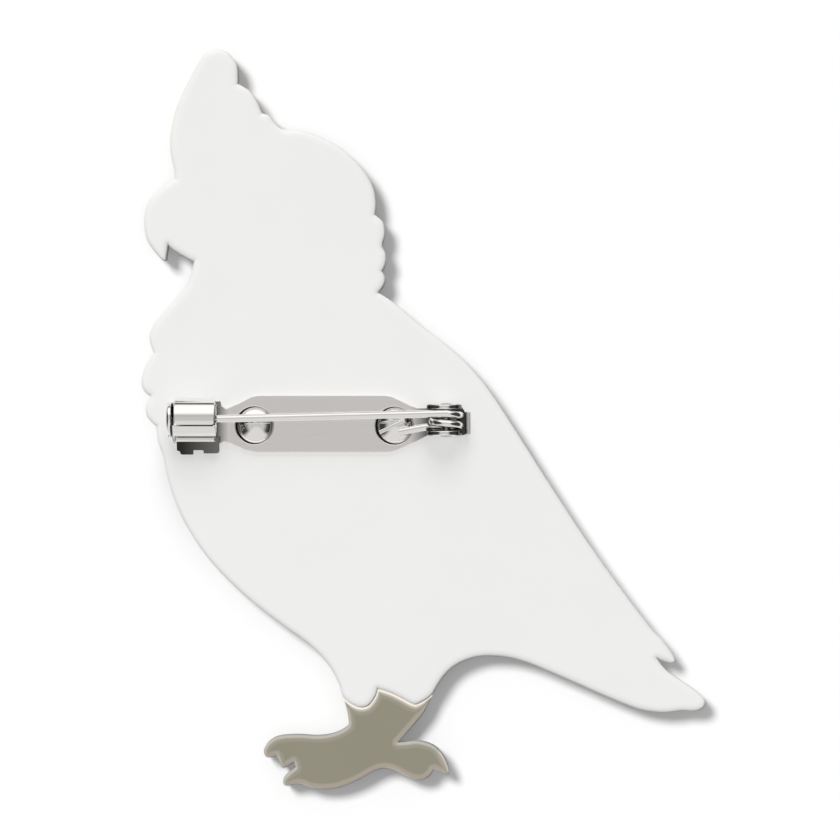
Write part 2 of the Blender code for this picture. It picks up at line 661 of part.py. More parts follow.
def needle_lift():
    """The angle, past the coil's top, at which the needle leaves it to reach the catch's axis."""
    mouth = Vector((NEEDLE_MOUTH[0] - HINGE_X, CATCH_Z - HINGE_Z))
    return math.atan2(-mouth.y, -mouth.x) + math.asin(COIL_R / mouth.length)


def coil_point(turn):
    """A point of the wire after a number of turns from the coil's top, going over it towards the tail."""
    angle = math.pi / 2 - 2 * math.pi * turn
    if turn <= 1:
        y = STRAND_Y[0] + (STRAND_Y[1] - STRAND_Y[0]) * turn
    else:
        y = STRAND_Y[1] + (TAIL_Y - STRAND_Y[1]) * (turn - 1) * 2
    return Vector((HINGE_X + COIL_R * math.cos(angle), y, HINGE_Z + COIL_R * math.sin(angle)))


def make_needle(bird):
    """The needle and the first turn of its coil. Its origin lies on the hinge's axis."""
    lift = needle_lift()
    leave = coil_point(-lift / (2 * math.pi))
    leave.y = STRAND_Y[0]
    run = Vector((-1, (leave.y - NEEDLE_MOUTH[1]) / (NEEDLE_MOUTH[0] - leave.x), -math.tan(lift)))
    path = [leave + run * (leave.x - x) for x in NEEDLE_STATIONS] + [leave]
    path += [coil_point(step / COIL_STEPS) for step in range(COIL_STEPS + 1)]
    radii = NEEDLE_RADII + [1.0] * (len(path) - len(NEEDLE_RADII))
    hinge = Vector((HINGE_X, 0, HINGE_Z))
    obj = wire("needle", [point - hinge for point in path], radii, bird)
    obj.location = hinge * MM
    finish(obj, NICKEL)


def make_spring_tail(bird):
    """The last half turn of the coil and its leg, which lies over the plate."""
    steps = COIL_STEPS // 2
    first = 1 + TAIL_GAP_TURN
    path = [coil_point(first + (1.5 - first) * step / steps) for step in range(steps + 1)]
    path += [Vector((*place, path[-1].z)) for place in (TAIL_BEND, TAIL_END)]
    finish(wire("spring_tail", path, [1.0] * len(path), bird), NICKEL)


def make_tab(middle, collection):
    """The tab that turns the sleeve: a strip from within its sheet, down and out towards the feet."""
    turn = math.radians(TAB_ROOT)
    root = Vector((middle * math.cos(turn), middle * math.sin(turn)))
    fall = Vector((TAB_TIP[0] - CATCH_Y, TAB_TIP[1] - CATCH_Z)) - root
    stations = [(*(root + fall * share), TAB_X[0] + trim, TAB_X[1] - trim) for share, trim in TAB_STATIONS]
    return rolled_sheet("tab", stations, TAB_T, collection)


def make_sleeve(bird):
    """The turning sleeve of the catch, with its tab. Its origin lies on the catch's axis."""
    middle = SLEEVE_R - SLEEVE_T / 2
    corner_turn = math.degrees(SLEEVE_CORNER / middle)
    stations = []
    for step in range(SLEEVE_CORNER_STEPS):
        share = math.pi / 2 * step / SLEEVE_CORNER_STEPS
        angle = SLEEVE_EDGE - corner_turn * (1 - math.cos(share))
        trim = SLEEVE_CORNER * (1 - math.sin(share))
        y, z = middle * math.cos(math.radians(angle)), middle * math.sin(math.radians(angle))
        stations.append((y, z, SLEEVE_X[0] + trim, SLEEVE_X[1] - trim))
    ring = arc((0, 0), middle, SLEEVE_EDGE - corner_turn, SLEEVE_END, SLEEVE_STEPS)
    stations += [(y, z, *SLEEVE_X) for y, z in ring]
    sleeve = join(rolled_sheet("catch_sleeve", stations, SLEEVE_T, bird), [make_tab(middle, bird)])
    sleeve.location = (0, CATCH_Y * MM, CATCH_Z * MM)
    finish(sleeve, NICKEL)


def main():
    for obj in list(bpy.data.objects):
        bpy.data.objects.remove(obj)
    brooch = bpy.data.collections.new("cockatoo_brooch")
    bpy.context.scene.collection.children.link(brooch)
    make_layers(brooch)
    make_plate(brooch)
    make_studs(brooch)
    make_rivet(brooch)
    make_needle(brooch)
    make_spring_tail(brooch)
    make_sleeve(brooch)


main()
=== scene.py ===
"""Looks of the cockatoo brooch: polished acrylic layers and a nickel-plated bar pin, seen from the back.

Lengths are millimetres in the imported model's frame, turned into metres by MM where a mesh is made.
The layers' and the plate's outlines, and the places of the hinge, the catch and the studs, are read from
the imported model.
"""

import json
import math

import bmesh
import bpy
import numpy as np
from mathutils import Matrix, Vector
from mathutils.geometry import delaunay_2d_cdt


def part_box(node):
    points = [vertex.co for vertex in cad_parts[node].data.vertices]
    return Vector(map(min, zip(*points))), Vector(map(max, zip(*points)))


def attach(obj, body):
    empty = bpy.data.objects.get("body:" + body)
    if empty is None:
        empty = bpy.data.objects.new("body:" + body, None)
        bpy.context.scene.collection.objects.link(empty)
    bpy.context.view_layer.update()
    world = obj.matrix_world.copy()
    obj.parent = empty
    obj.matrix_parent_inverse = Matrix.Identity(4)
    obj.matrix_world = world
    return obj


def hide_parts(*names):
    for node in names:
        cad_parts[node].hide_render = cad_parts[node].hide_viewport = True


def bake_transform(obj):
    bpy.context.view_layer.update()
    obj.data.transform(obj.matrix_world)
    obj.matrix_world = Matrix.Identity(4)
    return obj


MM = 0.001

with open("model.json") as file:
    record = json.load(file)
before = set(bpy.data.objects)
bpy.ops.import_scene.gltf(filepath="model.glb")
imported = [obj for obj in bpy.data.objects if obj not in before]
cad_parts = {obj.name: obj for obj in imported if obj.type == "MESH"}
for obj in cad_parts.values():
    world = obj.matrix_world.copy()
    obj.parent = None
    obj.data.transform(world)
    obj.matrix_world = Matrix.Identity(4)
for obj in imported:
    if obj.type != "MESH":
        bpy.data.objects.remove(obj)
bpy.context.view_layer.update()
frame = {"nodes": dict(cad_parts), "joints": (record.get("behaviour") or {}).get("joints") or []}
joints = {joint["name"]: joint for joint in frame["joints"]}


def low_of(node):
    """The low corner of a CAD node's box."""
    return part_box(node)[0] / MM


def high_of(node):
    """The high corner of a CAD node's box."""
    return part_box(node)[1] / MM


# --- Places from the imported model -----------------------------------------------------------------
HINGE = Vector(joints["needle_hinge"]["pos_m"]) / MM
CATCH = Vector(joints["sleeve_turn"]["pos_m"]) / MM
SHEET = 0.5  # the pin's sheet metal
PLATE_LOW = low_of("base_plate").z
PLATE_TOP = PLATE_LOW + SHEET
PLATE_MIDDLE = PLATE_LOW + SHEET / 2

# --- Edges ----------------------------------------------------------------------------------------
BODY_RIM = 0.8  # the radius of each rounded edge
LEG_RIM = 0.8
FACE_RIM = 0.3
METAL_RIM = 0.09
UNDER_RIM = 0.05
EAR_RIMS = (0.1, 0.14)  # pairs are a sheet's inner and outer faces
LUG_RIMS = (0.1, 0.3)
STOP_RIMS = (0.05, 0.22)
SLEEVE_RIMS = (0.08, 0.1)
TAB_RIMS = (0.1, 0.1)
TROUGH_RIMS = (0.08, 0.08)
BAR_RIMS = (0.02, 0.1)
OUTLINE_STEP = 0.16  # between the points of an outline
OVERLAY_STEP = 0.25
METAL_STEP = 0.1
SHEET_STEP = 0.14  # between the points of a bent sheet's surface
CORNER = 38  # degrees: an outline that turns more than this at a point has a corner there
STRAIGHT = 0.6  # degrees: less than this is no turn at all
FAN = 15  # degrees between the points that a rounded edge has about an inward corner
RING_KEPT = 0.985  # a ring's point stays if it is at least this share of its depth from every side
INNER_RING = 1.15  # the innermost ring lies this many rims deep, and RING_GAP more
FLAT_START = 1.3  # the flat's own points start this many rims deep, and RING_GAP more
RING_GAP = 0.05
SHARPEST = 0.4  # keeps the ring's point at a very sharp corner from running far inwards
BATCH = 1500  # points measured at a time
ROUND_CREASE = 40  # degrees: a turned solid is sharp where its faces meet at more than this
WIRE_CREASE = 50

# --- The glue between body and leg ----------------------------------------------------------------
SEAM_REACH = 0.14  # the glue runs where the two outlines are nearer than this
SEAM_SIDES = (0.12, 0.25)  # how far it goes in from the leg's outline, and out from it
SEAM_DROP = 0.42  # how far it lies below their backs
SEAM_DEPTH = 1.0

# --- Hinge and needle -----------------------------------------------------------------------------
WIRE_R = 0.41
COIL_R = 1.475
EAR_X = 2.08
EAR_R = 1.85
EAR_INNER = (1.03, -1.25)  # Y of the ears' inner faces
STRAND_Y = (0.58, -0.48)  # Y of the coil's strands
TAIL_Y = -0.81
TAIL_BEND = (0.2, -0.83)
TAIL_CORNER = 0.35
TAIL_END = (-2.68, -1.38)
PIN_R = 0.45
HEAD_R = 0.68
HEAD_T = 0.13
MOUTH = (-22.05, 0.0)  # where the needle enters the catch
POINT_LENGTH = 2.6
COIL_STEPS = 72
WIRE_SIDES = 28

# --- Studs in the plate's holes -------------------------------------------------------------------
HOLE_R = 2.0
STUD_R = 1.92
STUD_SHIFT = (0.07, 0.02)  # each head sits a little off its hole's middle
STUD_LEAN = 0.05  # how much lower the head's beak side is than its tail side, halved
STUD_SIDE = 0.07  # how high its straight side stands over the plate's underside
STUD_STEPS = 16
ROUND_SIDES = 72
# The black disc in each hole is painted shade, for the shade in the narrow gap round the stud's head.
GAP_HALF = 0.03  # half the thickness of the dark disc that fills its hole
BAR_ENDS = ((-4.8, -1.46), (-1.99, -0.13))
BAR_WIDTH = 0.42
BAR_CORNER = 0.08
BAR_Z = (4.98, 5.14)

# --- Catch ----------------------------------------------------------------------------------------
SLEEVE_X = (-26.26, -21.97)
SLEEVE_R = 2.33
SLEEVE_T = 0.45
SLEEVE_EDGE = 104  # degrees from the foot's side, where the rolled sheet starts
SLEEVE_END = -180
SLEEVE_CORNER = 0.35
SHEET_CORNER = 0.15  # of the sleeve's hidden edge, and of the stop
TAB_X = (-26.1, -21.6)
TAB_T = 0.4
TAB_ROOT = -150
TAB_TIP = (-3.7, 5.1)
TAB_NOTCH = (-24.35, -23.3)  # a notch in its lower edge
TAB_NOTCH_DEPTH = 0.55
TROUGH_R = 1.8
TROUGH_T = 0.35
TROUGH_ARC = (112, 345)
TROUGH_END_X = -21.88
TROUGH_CORNER = 0.2
TROUGH_IN_LUG = 0.1  # how far the trough starts inside the lug
LUG_X = (-27.08, -26.56)
LUG_Y = 0.03
LUG_R = 1.76
PLATE_END_X = 4.28
STOP_END_X = 4.85
STOP_RISE = 2.1
STOP_Y = (0.73, -1.63)
STOP_T = SHEET * 0.96

# --- Camera ---------------------------------------------------------------------------------------
VIEW_WIDTH = 88.7  # what the frame takes in at the height of the pin's plate
VIEW_CENTRE = (-0.46, -0.11)
CAMERA_HEIGHT = 500.0
SENSOR = 36.0

# --- Light ----------------------------------------------------------------------------------------
FLOOR_REACH = 3000.0
FLOOR_LOW = -0.02  # just below the face that lies on it
FLOOR_WHITE = 0.93
SKY_LIGHT = 0.235  # the share of light that falls evenly from the whole sky
KEY_LIGHT = 0.645
KEY_TILT = 27.5  # degrees off the zenith
KEY_WIDTH = 15
SOFT_LIGHT = 0.212
SOFT_WIDTH = 37
SKY_TINT = (1.0, 0.995, 0.985, 1)

# What the metal mirrors: brightness against the angle off the zenith in degrees, by heading.
TO_CREST = [
    (0, 0.57), (16, 0.57), (19, 0.45), (22, 0.52), (24, 0.62), (30, 0.80), (35, 1.12), (78, 1.12),
    (84, 0.75), (87, 0.13), (97, 0.13), (101, 0.85), (180, 0.95),
]
TO_FEET = [(0, 0.57), (3.5, 0.57), (7, 0.67), (10, 0.74), (105, 0.74), (120, 0.85), (180, 0.95)]
TO_SIDES = [
    (0, 0.57), (25, 0.57), (31, 0.35), (37, 0.10), (42, 0.045), (100, 0.045), (106, 0.4), (116, 0.95),
    (180, 0.95),
]
RAMP_FULL = 1.25  # the brightness that a ramp's white stands for
HEADING_EDGE = (0.50, 0.80)  # between these sines of the heading one side blends into the next


# --- Colours --------------------------------------------------------------------------------------
def linear(red, green, blue):
    """A colour given as 0 to 255 screen values."""

    def channel(value):
        value /= 255
        return value / 12.92 if value <= 0.04045 else ((value + 0.055) / 1.055) ** 2.4

    return (channel(red), channel(green), channel(blue), 1.0)


# The two shades of each acrylic, which faint clouds mix.
WHITE = ((0.80, 0.80, 0.79, 1), (0.775, 0.775, 0.765, 1))
KHAKI = (linear(140, 137, 121), linear(134, 131, 115))
PEARL = ((0.74, 0.75, 0.77, 1), (0.62, 0.64, 0.68, 1))
YELLOW = ((0.83, 0.62, 0.08, 1), (0.78, 0.55, 0.05, 1))
PALE_YELLOW = ((0.86, 0.76, 0.42, 1), (0.84, 0.72, 0.34, 1))
DARK = ((0.03, 0.03, 0.035, 1), (0.045, 0.04, 0.04, 1))
CREAM = ((0.90, 0.86, 0.78, 1), (0.80, 0.72, 0.62, 1))
WHITE_SOFTEN = 0.6
KHAKI_SOFTEN = 0.88
CREAM_ROUGH = (0.1, 0.2)
ACRYLIC_IOR = 1.49
CLOUDS = 0.12  # features per millimetre, as are the next two
POLISH = 0.6
RIPPLES = 0.09
RIPPLE_DEPTH = 0.5
RIPPLE_STRENGTH = 0.15
NOISE_SPAN = (0.3, 0.7)  # most of a noise's values lie between these

# The leg's edge: its colour by how level the surface is, towards the light and away from it. This is partly
# the paler acrylic under the khaki face and partly painted light: lit and unlit copies of the edge's
# colour, with the outermost edge away from the light painted lightest, as a glow through the acrylic.
PAINTED_EDGE_LIT = (
    (0.0, linear(206, 202, 195)), (0.66, linear(188, 183, 172)), (0.8, linear(158, 153, 139)),
    (0.92, linear(146, 143, 127)),
)
PAINTED_EDGE_UNLIT = (
    (0.0, linear(240, 236, 231)), (0.58, linear(222, 216, 209)), (0.7, linear(176, 167, 156)),
    (0.9, linear(164, 155, 142)), (1.0, linear(148, 144, 128)),
)
EDGE_AWAY = (-0.02, 0.16)  # X less Y of the normal, from lit to unlit
EDGE_LEVEL = (0.975, 0.9995)  # Z of the normal, from the edge's colour to the flat's

# The two shades of each metal, which drawn streaks mix, and the range of its roughness.
SHEET_METAL = ((0.90, 0.875, 0.855, 1), (0.94, 0.915, 0.895, 1), (0.14, 0.2))
BRIGHT_METAL = ((0.90, 0.885, 0.87, 1), (0.96, 0.945, 0.93, 1), (0.06, 0.1))
WIRE_METAL = ((0.88, 0.865, 0.85, 1), (0.95, 0.935, 0.92, 1), (0.07, 0.12))
STUD_METAL = (*BRIGHT_METAL[:2], (0.03, 0.06))
STOP_METAL = (*BRIGHT_METAL[:2], (0.4, 0.5))
# Painted shade: the black of the disc in each stud's hole, for the shade in the gap round its head.
PAINTED_GAP_SHADE = ((0.01, 0.01, 0.01, 1), (0.02, 0.02, 0.02, 1), (0.5, 0.7))
STREAKS = (0.15, 8.0, 8.0)  # features per millimetre along each axis
STREAK_DETAIL = 4.0
STREAK_STRENGTH = 0.3
STREAK_DEPTH = 0.01
STUD_STREAK_DEPTH = 0.004

# Bands of painted shade and painted dark reflection on the metal: X of the middle, two distances from it in
# X, and what is left of the colour at each.
# Painted shade on the plate beside the sleeve's open end, and painted shade under the coil and the ears.
PLATE_PAINTED_SHADE = ((-22.4, 0.45, 1.7, 0.2, 1.0), (2.6, 2.1, 4.1, 0.08, 1.0))
# Painted shade on the trough, in the gap between the lug and the sleeve.
TROUGH_PAINTED_SHADE = ((-26.7, 0.25, 0.35, 0.05, 1.0),)
# Painted dark reflection at both ends of each ear.
EAR_PAINTED_SHADE = ((EAR_X, 1.1, 1.4, 1.0, 0.12),)
# Painted shade and dark reflection: the tab is nearly black, a little lighter towards its far end.
TAB_PAINTED_SHADE = ((TAB_X[0], 0.5, 4.4, 0.035, 0.2),)
# Painted shade on the stop, darkest at its foot beside the coil.
STOP_PAINTED_SHADE = ((3.9, 0.25, 0.65, 0.2, 0.75), (4.95, 0.05, 0.25, 0.5, 1.0))
# Painted shade: the hinge pin is darkened all over, as it sits in shade between the coil's strands.
PIN_PAINTED_SHADE = ((HINGE.x, 0.0, 0.7, 0.3, 0.3),)


# --- Materials ------------------------------------------------------------------------------------
def new_material(name):
    """A new material, with its nodes, its links and its shader."""
    made = bpy.data.materials.new(name)
    made.use_nodes = True
    return made, made.node_tree.nodes, made.node_tree.links, made.node_tree.nodes["Principled BSDF"]


def noise_node(nodes, links, scale, detail=3.0, stretch=(1, 1, 1)):
    """Noise over the object's own space, with scale in features per millimetre."""
    place = nodes.new("ShaderNodeTexCoord")
    mapping = nodes.new("ShaderNodeMapping")
    mapping.inputs["Scale"].default_value = [scale / MM * s for s in stretch]
    noise = nodes.new("ShaderNodeTexNoise")
    noise.inputs["Scale"].default_value = 1.0
    noise.inputs["Detail"].default_value = detail
    links.new(place.outputs["Object"], mapping.inputs["Vector"])
    links.new(mapping.outputs["Vector"], noise.inputs["Vector"])
    return noise


def math_node(nodes, links, operation, *values):
    """The operation on values that are numbers, or what other nodes give."""
    node = nodes.new("ShaderNodeMath")
    node.operation = operation
    for socket, value in zip(node.inputs, values):
        if isinstance(value, (int, float)):
            socket.default_value = value
        else:
            links.new(value, socket)
    return node.outputs[0]


def range_node(nodes, links, value, low, high, low_gives=0.0, high_gives=1.0, kind="LINEAR"):
    """What the value gives between low and high. Beyond them it gives no more and no less."""
    node = nodes.new("ShaderNodeMapRange")
    node.interpolation_type = kind
    node.inputs["From Min"].default_value = low
    node.inputs["From Max"].default_value = high
    node.inputs["To Min"].default_value = low_gives
    node.inputs["To Max"].default_value = high_gives
    links.new(value, node.inputs["Value"])
    return node.outputs["Result"]


def step_node(nodes, links, value, low, high):
    """0 below low, 1 above high and smooth between them."""
    return range_node(nodes, links, value, low, high, kind="SMOOTHSTEP")


def spread(nodes, links, noise, low, high):
    """The noise's usual span, spread from low to high."""
    return range_node(nodes, links, noise.outputs["Fac"], *NOISE_SPAN, low, high)


def mix_node(nodes, links, share, first, second):
    """One colour where share is 0, the other where it is 1. Each is fixed, or what another node gives."""
    node = nodes.new("ShaderNodeMix")
    node.data_type = "RGBA"
    links.new(share, node.inputs["Factor"])
    for side, colour in (("A", first), ("B", second)):
        if isinstance(colour, tuple):
            node.inputs[side].default_value = colour
        else:
            links.new(colour, node.inputs[side])
    return node.outputs["Result"]


def softened(nodes, links, share):
    """The normal, turned part of the way towards +Z: light scattered inside evens out the edges."""
    geometry = nodes.new("ShaderNodeNewGeometry")
    turned = nodes.new("ShaderNodeMix")
    turned.data_type = "VECTOR"
    turned.inputs["Factor"].default_value = share
    turned.inputs["B"].default_value = (0, 0, 1)
    links.new(geometry.outputs["Normal"], turned.inputs["A"])
    unit = nodes.new("ShaderNodeVectorMath")
    unit.operation = "NORMALIZE"
    links.new(turned.outputs["Result"], unit.inputs[0])
    return unit.outputs["Vector"]


def tones(nodes, links, value, marks):
    """A colour read from marks of (value, colour). Stops are placed first, because placing sorts them."""
    node = nodes.new("ShaderNodeValToRGB")
    stops = node.color_ramp.elements
    while len(stops) < len(marks):
        stops.new(0.5)
    for stop, (place, _) in zip(stops, marks):
        stop.position = place
    for stop, (_, shade) in zip(stops, marks):
        stop.color = shade
    links.new(value, node.inputs["Fac"])
    return node.outputs["Color"]


def edged(nodes, links, colour, lit, unlit):
    """The colour where the surface is level. Where it falls away, its colour comes from how level it is:
    from lit on the sides that face the beak and the crest, and from unlit on the others. These are painted
    light: a lit and an unlit copy of the edge's colour."""
    place = nodes.new("ShaderNodeTexCoord")
    split = nodes.new("ShaderNodeSeparateXYZ")
    links.new(place.outputs["Normal"], split.inputs["Vector"])
    x, y, z = split.outputs
    away = step_node(nodes, links, math_node(nodes, links, "SUBTRACT", x, y), *EDGE_AWAY)
    level = step_node(nodes, links, z, *EDGE_LEVEL)
    edge = mix_node(nodes, links, away, tones(nodes, links, z, lit), tones(nodes, links, z, unlit))
    return mix_node(nodes, links, level, edge, colour)


def acrylic(name, colour, other, rough=(0.16, 0.24), soften=0.0, edges=()):
    """Cast acrylic: faint clouds in its colour, a polish that varies, and a surface not quite flat."""
    made, nodes, links, shader = new_material(name)
    clouds = noise_node(nodes, links, CLOUDS)
    paint = mix_node(nodes, links, clouds.outputs["Fac"], colour, other)
    if edges:
        paint = edged(nodes, links, paint, *edges)
    links.new(paint, shader.inputs["Base Color"])
    polish = noise_node(nodes, links, POLISH)
    links.new(spread(nodes, links, polish, *rough), shader.inputs["Roughness"])
    ripple = noise_node(nodes, links, RIPPLES, 1.0)
    bump = nodes.new("ShaderNodeBump")
    bump.inputs["Strength"].default_value = RIPPLE_STRENGTH
    bump.inputs["Distance"].default_value = RIPPLE_DEPTH * MM
    links.new(ripple.outputs["Fac"], bump.inputs["Height"])
    if soften:
        links.new(softened(nodes, links, soften), bump.inputs["Normal"])
    links.new(bump.outputs["Normal"], shader.inputs["Normal"])
    shader.inputs["IOR"].default_value = ACRYLIC_IOR
    return made


def shaded(nodes, links, colour, centre, near, far, low, high):
    """Painted shade: the colour times a factor that runs from low to high between two distances in X from a
    centre.
    """
    place = nodes.new("ShaderNodeTexCoord")
    split = nodes.new("ShaderNodeSeparateXYZ")
    links.new(place.outputs["Object"], split.inputs["Vector"])
    offset = math_node(nodes, links, "SUBTRACT", split.outputs["X"], centre * MM)
    gap = math_node(nodes, links, "ABSOLUTE", offset)
    factor = range_node(nodes, links, gap, near * MM, far * MM, low, high)
    grey = nodes.new("ShaderNodeCombineColor")
    for channel in ("Red", "Green", "Blue"):
        links.new(factor, grey.inputs[channel])
    product = nodes.new("ShaderNodeMix")
    product.data_type = "RGBA"
    product.blend_type = "MULTIPLY"
    product.inputs["Factor"].default_value = 1.0
    links.new(colour, product.inputs["A"])
    links.new(grey.outputs["Color"], product.inputs["B"])
    return product.outputs["Result"]


def nickel(name, colour, other, rough, depth=STREAK_DEPTH, painted_shade=()):
    """Nickel plate: drawn streaks in its colour, its polish and its surface. Bands of painted shade darken
    it where shade and dark reflections fall on the metal.
    """
    made, nodes, links, shader = new_material(name)
    streaks = noise_node(nodes, links, 1.0, STREAK_DETAIL, STREAKS)
    paint = mix_node(nodes, links, streaks.outputs["Fac"], colour, other)
    for band in painted_shade:
        paint = shaded(nodes, links, paint, *band)
    links.new(paint, shader.inputs["Base Color"])
    links.new(spread(nodes, links, streaks, *rough), shader.inputs["Roughness"])
    bump = nodes.new("ShaderNodeBump")
    bump.inputs["Strength"].default_value = STREAK_STRENGTH
    bump.inputs["Distance"].default_value = depth * MM
    links.new(streaks.outputs["Fac"], bump.inputs["Height"])
    links.new(bump.outputs["Normal"], shader.inputs["Normal"])
    shader.inputs["Metallic"].default_value = 1.0
    return made


# --- Outlines -------------------------------------------------------------------------------------
def slice_lines(node, height):
    """The closed lines in which a level plane cuts a CAD node, anticlockwise, longest first."""
    mesh = frame["nodes"][node].data
    links = {}
    for face in mesh.polygons:
        ring = [mesh.vertices[i].co / MM for i in face.vertices]
        ends = []
        for a, b in zip(ring, ring[1:] + ring[:1]):
            below, above = (a, b) if a.z < b.z else (b, a)
            if below.z < height <= above.z:
                cut = below.lerp(above, (height - below.z) / (above.z - below.z))
                ends.append((round(cut.x, 4), round(cut.y, 4)))
        if len(ends) == 2 and ends[0] != ends[1]:
            links.setdefault(ends[0], set()).add(ends[1])
            links.setdefault(ends[1], set()).add(ends[0])
    lines = []
    while links:
        line = [min(links)]
        while links.get(line[-1]):
            step = links[line[-1]].pop()
            links[step].discard(line[-1])
            line.append(step)
        for place in line:
            links.pop(place, None)
        lines.append(anticlockwise(without_straight(np.array(line[:-1]))))
    return sorted(lines, key=lambda line: -len(line))


def anticlockwise(line):
    after = np.roll(line, -1, 0)
    area = (line[:, 0] * after[:, 1] - after[:, 0] * line[:, 1]).sum()
    return line if area > 0 else line[::-1]


def turns_of(line):
    """The turn at each point of a closed line, in degrees, and the directions of the sides after them."""
    ahead = np.roll(line, -1, 0) - line
    ahead /= np.linalg.norm(ahead, axis=1)[:, None]
    behind = np.roll(ahead, 1, 0)
    cross = behind[:, 0] * ahead[:, 1] - behind[:, 1] * ahead[:, 0]
    return np.degrees(np.arctan2(cross, (behind * ahead).sum(1))), ahead


def without_straight(line):
    return line[np.abs(turns_of(line)[0]) > STRAIGHT]


def smooth(line, step):
    """The closed line as smooth curves that meet at its corners, with a point about every step."""
    turns, ahead = turns_of(line)
    lengths = np.linalg.norm(np.roll(line, -1, 0) - line, axis=1)
    behind, before = np.roll(ahead, 1, 0), np.roll(lengths, 1)
    tangents = (behind * lengths[:, None] + ahead * before[:, None]) / (before + lengths)[:, None]
    is_corner = np.abs(turns) > CORNER
    points = []
    for i in range(len(line)):
        j = (i + 1) % len(line)
        first, last, length = line[i], line[j], lengths[i]
        leave = (3 * ahead[i] - tangents[j]) / 2 if is_corner[i] else tangents[i]
        arrive = (3 * ahead[i] - tangents[i]) / 2 if is_corner[j] else tangents[j]
        if is_corner[i] and is_corner[j]:
            leave = arrive = ahead[i]
        count = max(1, round(length / step))
        for t in np.arange(count) / count:
            rise = t * t * (3 - 2 * t)
            bow = leave * (t * (1 - t) ** 2) - arrive * (t * t * (1 - t))
            points.append(first * (1 - rise) + last * rise + bow * length)
    return np.array(points)


def sharp(line, step):
    """The closed line with straight sides, with a point about every step."""
    points = []
    for first, last in zip(line, np.roll(line, -1, 0)):
        count = max(1, round(np.linalg.norm(last - first) / step))
        points += [first + (last - first) * t for t in np.arange(count) / count]
    return np.array(points)


def circle(centre, radius, count):
    turns = np.arange(count) * 2 * math.pi / count
    return np.stack([centre[0] + radius * np.cos(turns), centre[1] + radius * np.sin(turns)], 1)


def rounded(corners, radii, step):
    """A closed line through corners, each rounded off with an arc of its own radius."""
    line = []
    corners = [Vector(corner) for corner in corners]
    neighbours = zip(corners[-1:] + corners[:-1], corners, corners[1:] + corners[:1], radii)
    for before, here, after, size in neighbours:
        into, out = (here - before).normalized(), (after - here).normalized()
        turn = math.atan2(into.x * out.y - into.y * out.x, into.dot(out))
        if size <= 0 or abs(turn) < math.radians(1):
            line.append(here)
            continue
        reach = size * abs(math.tan(turn / 2))
        side = math.copysign(1, turn)
        centre = here - into * reach + Vector((-into.y, into.x)) * size * side
        count = max(3, round(abs(turn) * size / step))
        for k in range(count + 1):
            angle = turn * k / count
            arm = Vector((into.y, -into.x)) * size * side
            line.append(centre + Vector((arm.x * math.cos(angle) - arm.y * math.sin(angle),
                                         arm.x * math.sin(angle) + arm.y * math.cos(angle))))
    return sharp(anticlockwise(np.array([tuple(p) for p in line])), step)


# --- Flat pieces with rounded edges ---------------------------------------------------------------
def distances(points, lines):
    """From each point to the nearest side of the closed lines."""
    starts = np.concatenate(lines)
    sides = np.concatenate([np.roll(line, -1, 0) - line for line in lines])
    squares = (sides ** 2).sum(1)
    nearest = np.empty(len(points))
    for first in range(0, len(points), BATCH):
        reach = points[first:first + BATCH, None, :] - starts[None]
        along = np.clip((reach * sides[None]).sum(2) / squares[None], 0, 1)
        gaps = reach - along[..., None] * sides[None]
        nearest[first:first + BATCH] = np.sqrt((gaps ** 2).sum(2).min(1))
    return nearest


def inside(points, lines):
    """True for each point that lies within an odd number of the closed lines."""
    starts = np.concatenate(lines)
    ends = np.concatenate([np.roll(line, -1, 0) for line in lines])
    rise = ends[:, 1] - starts[:, 1]
    rise[rise == 0] = 1e-12
    found = np.empty(len(points), bool)
    for first in range(0, len(points), BATCH):
        x, y = points[first:first + BATCH, 0, None], points[first:first + BATCH, 1, None]
        crosses = (starts[None, :, 1] <= y) != (ends[None, :, 1] <= y)
        at = starts[None, :, 0] + (y - starts[None, :, 1]) * (ends - starts)[None, :, 0] / rise[None]
        found[first:first + BATCH] = (crosses & (at > x)).sum(1) % 2 == 1
    return found


def ring(line, depth):
    """Points at one depth within a line that has its material on the left, fanned about inward corners."""
    turns, ahead = turns_of(line)
    behind = np.roll(ahead, 1, 0)
    points = []
    for here, into, out, turn in zip(line, behind, ahead, turns):
        first = np.array((-into[1], into[0]))
        if turn < -FAN:
            count = math.ceil(-turn / FAN)
            for k in range(count + 1):
                angle = math.radians(turn * k / count)
                c, s = math.cos(angle), math.sin(angle)
                arm = np.array((first[0] * c - first[1] * s, first[0] * s + first[1] * c))
                points.append(here + depth * arm)
        else:
            middle = first + np.array((-out[1], out[0]))
            points.append(here + depth * 2 * middle / max((middle ** 2).sum(), SHARPEST))
    return np.array(points)


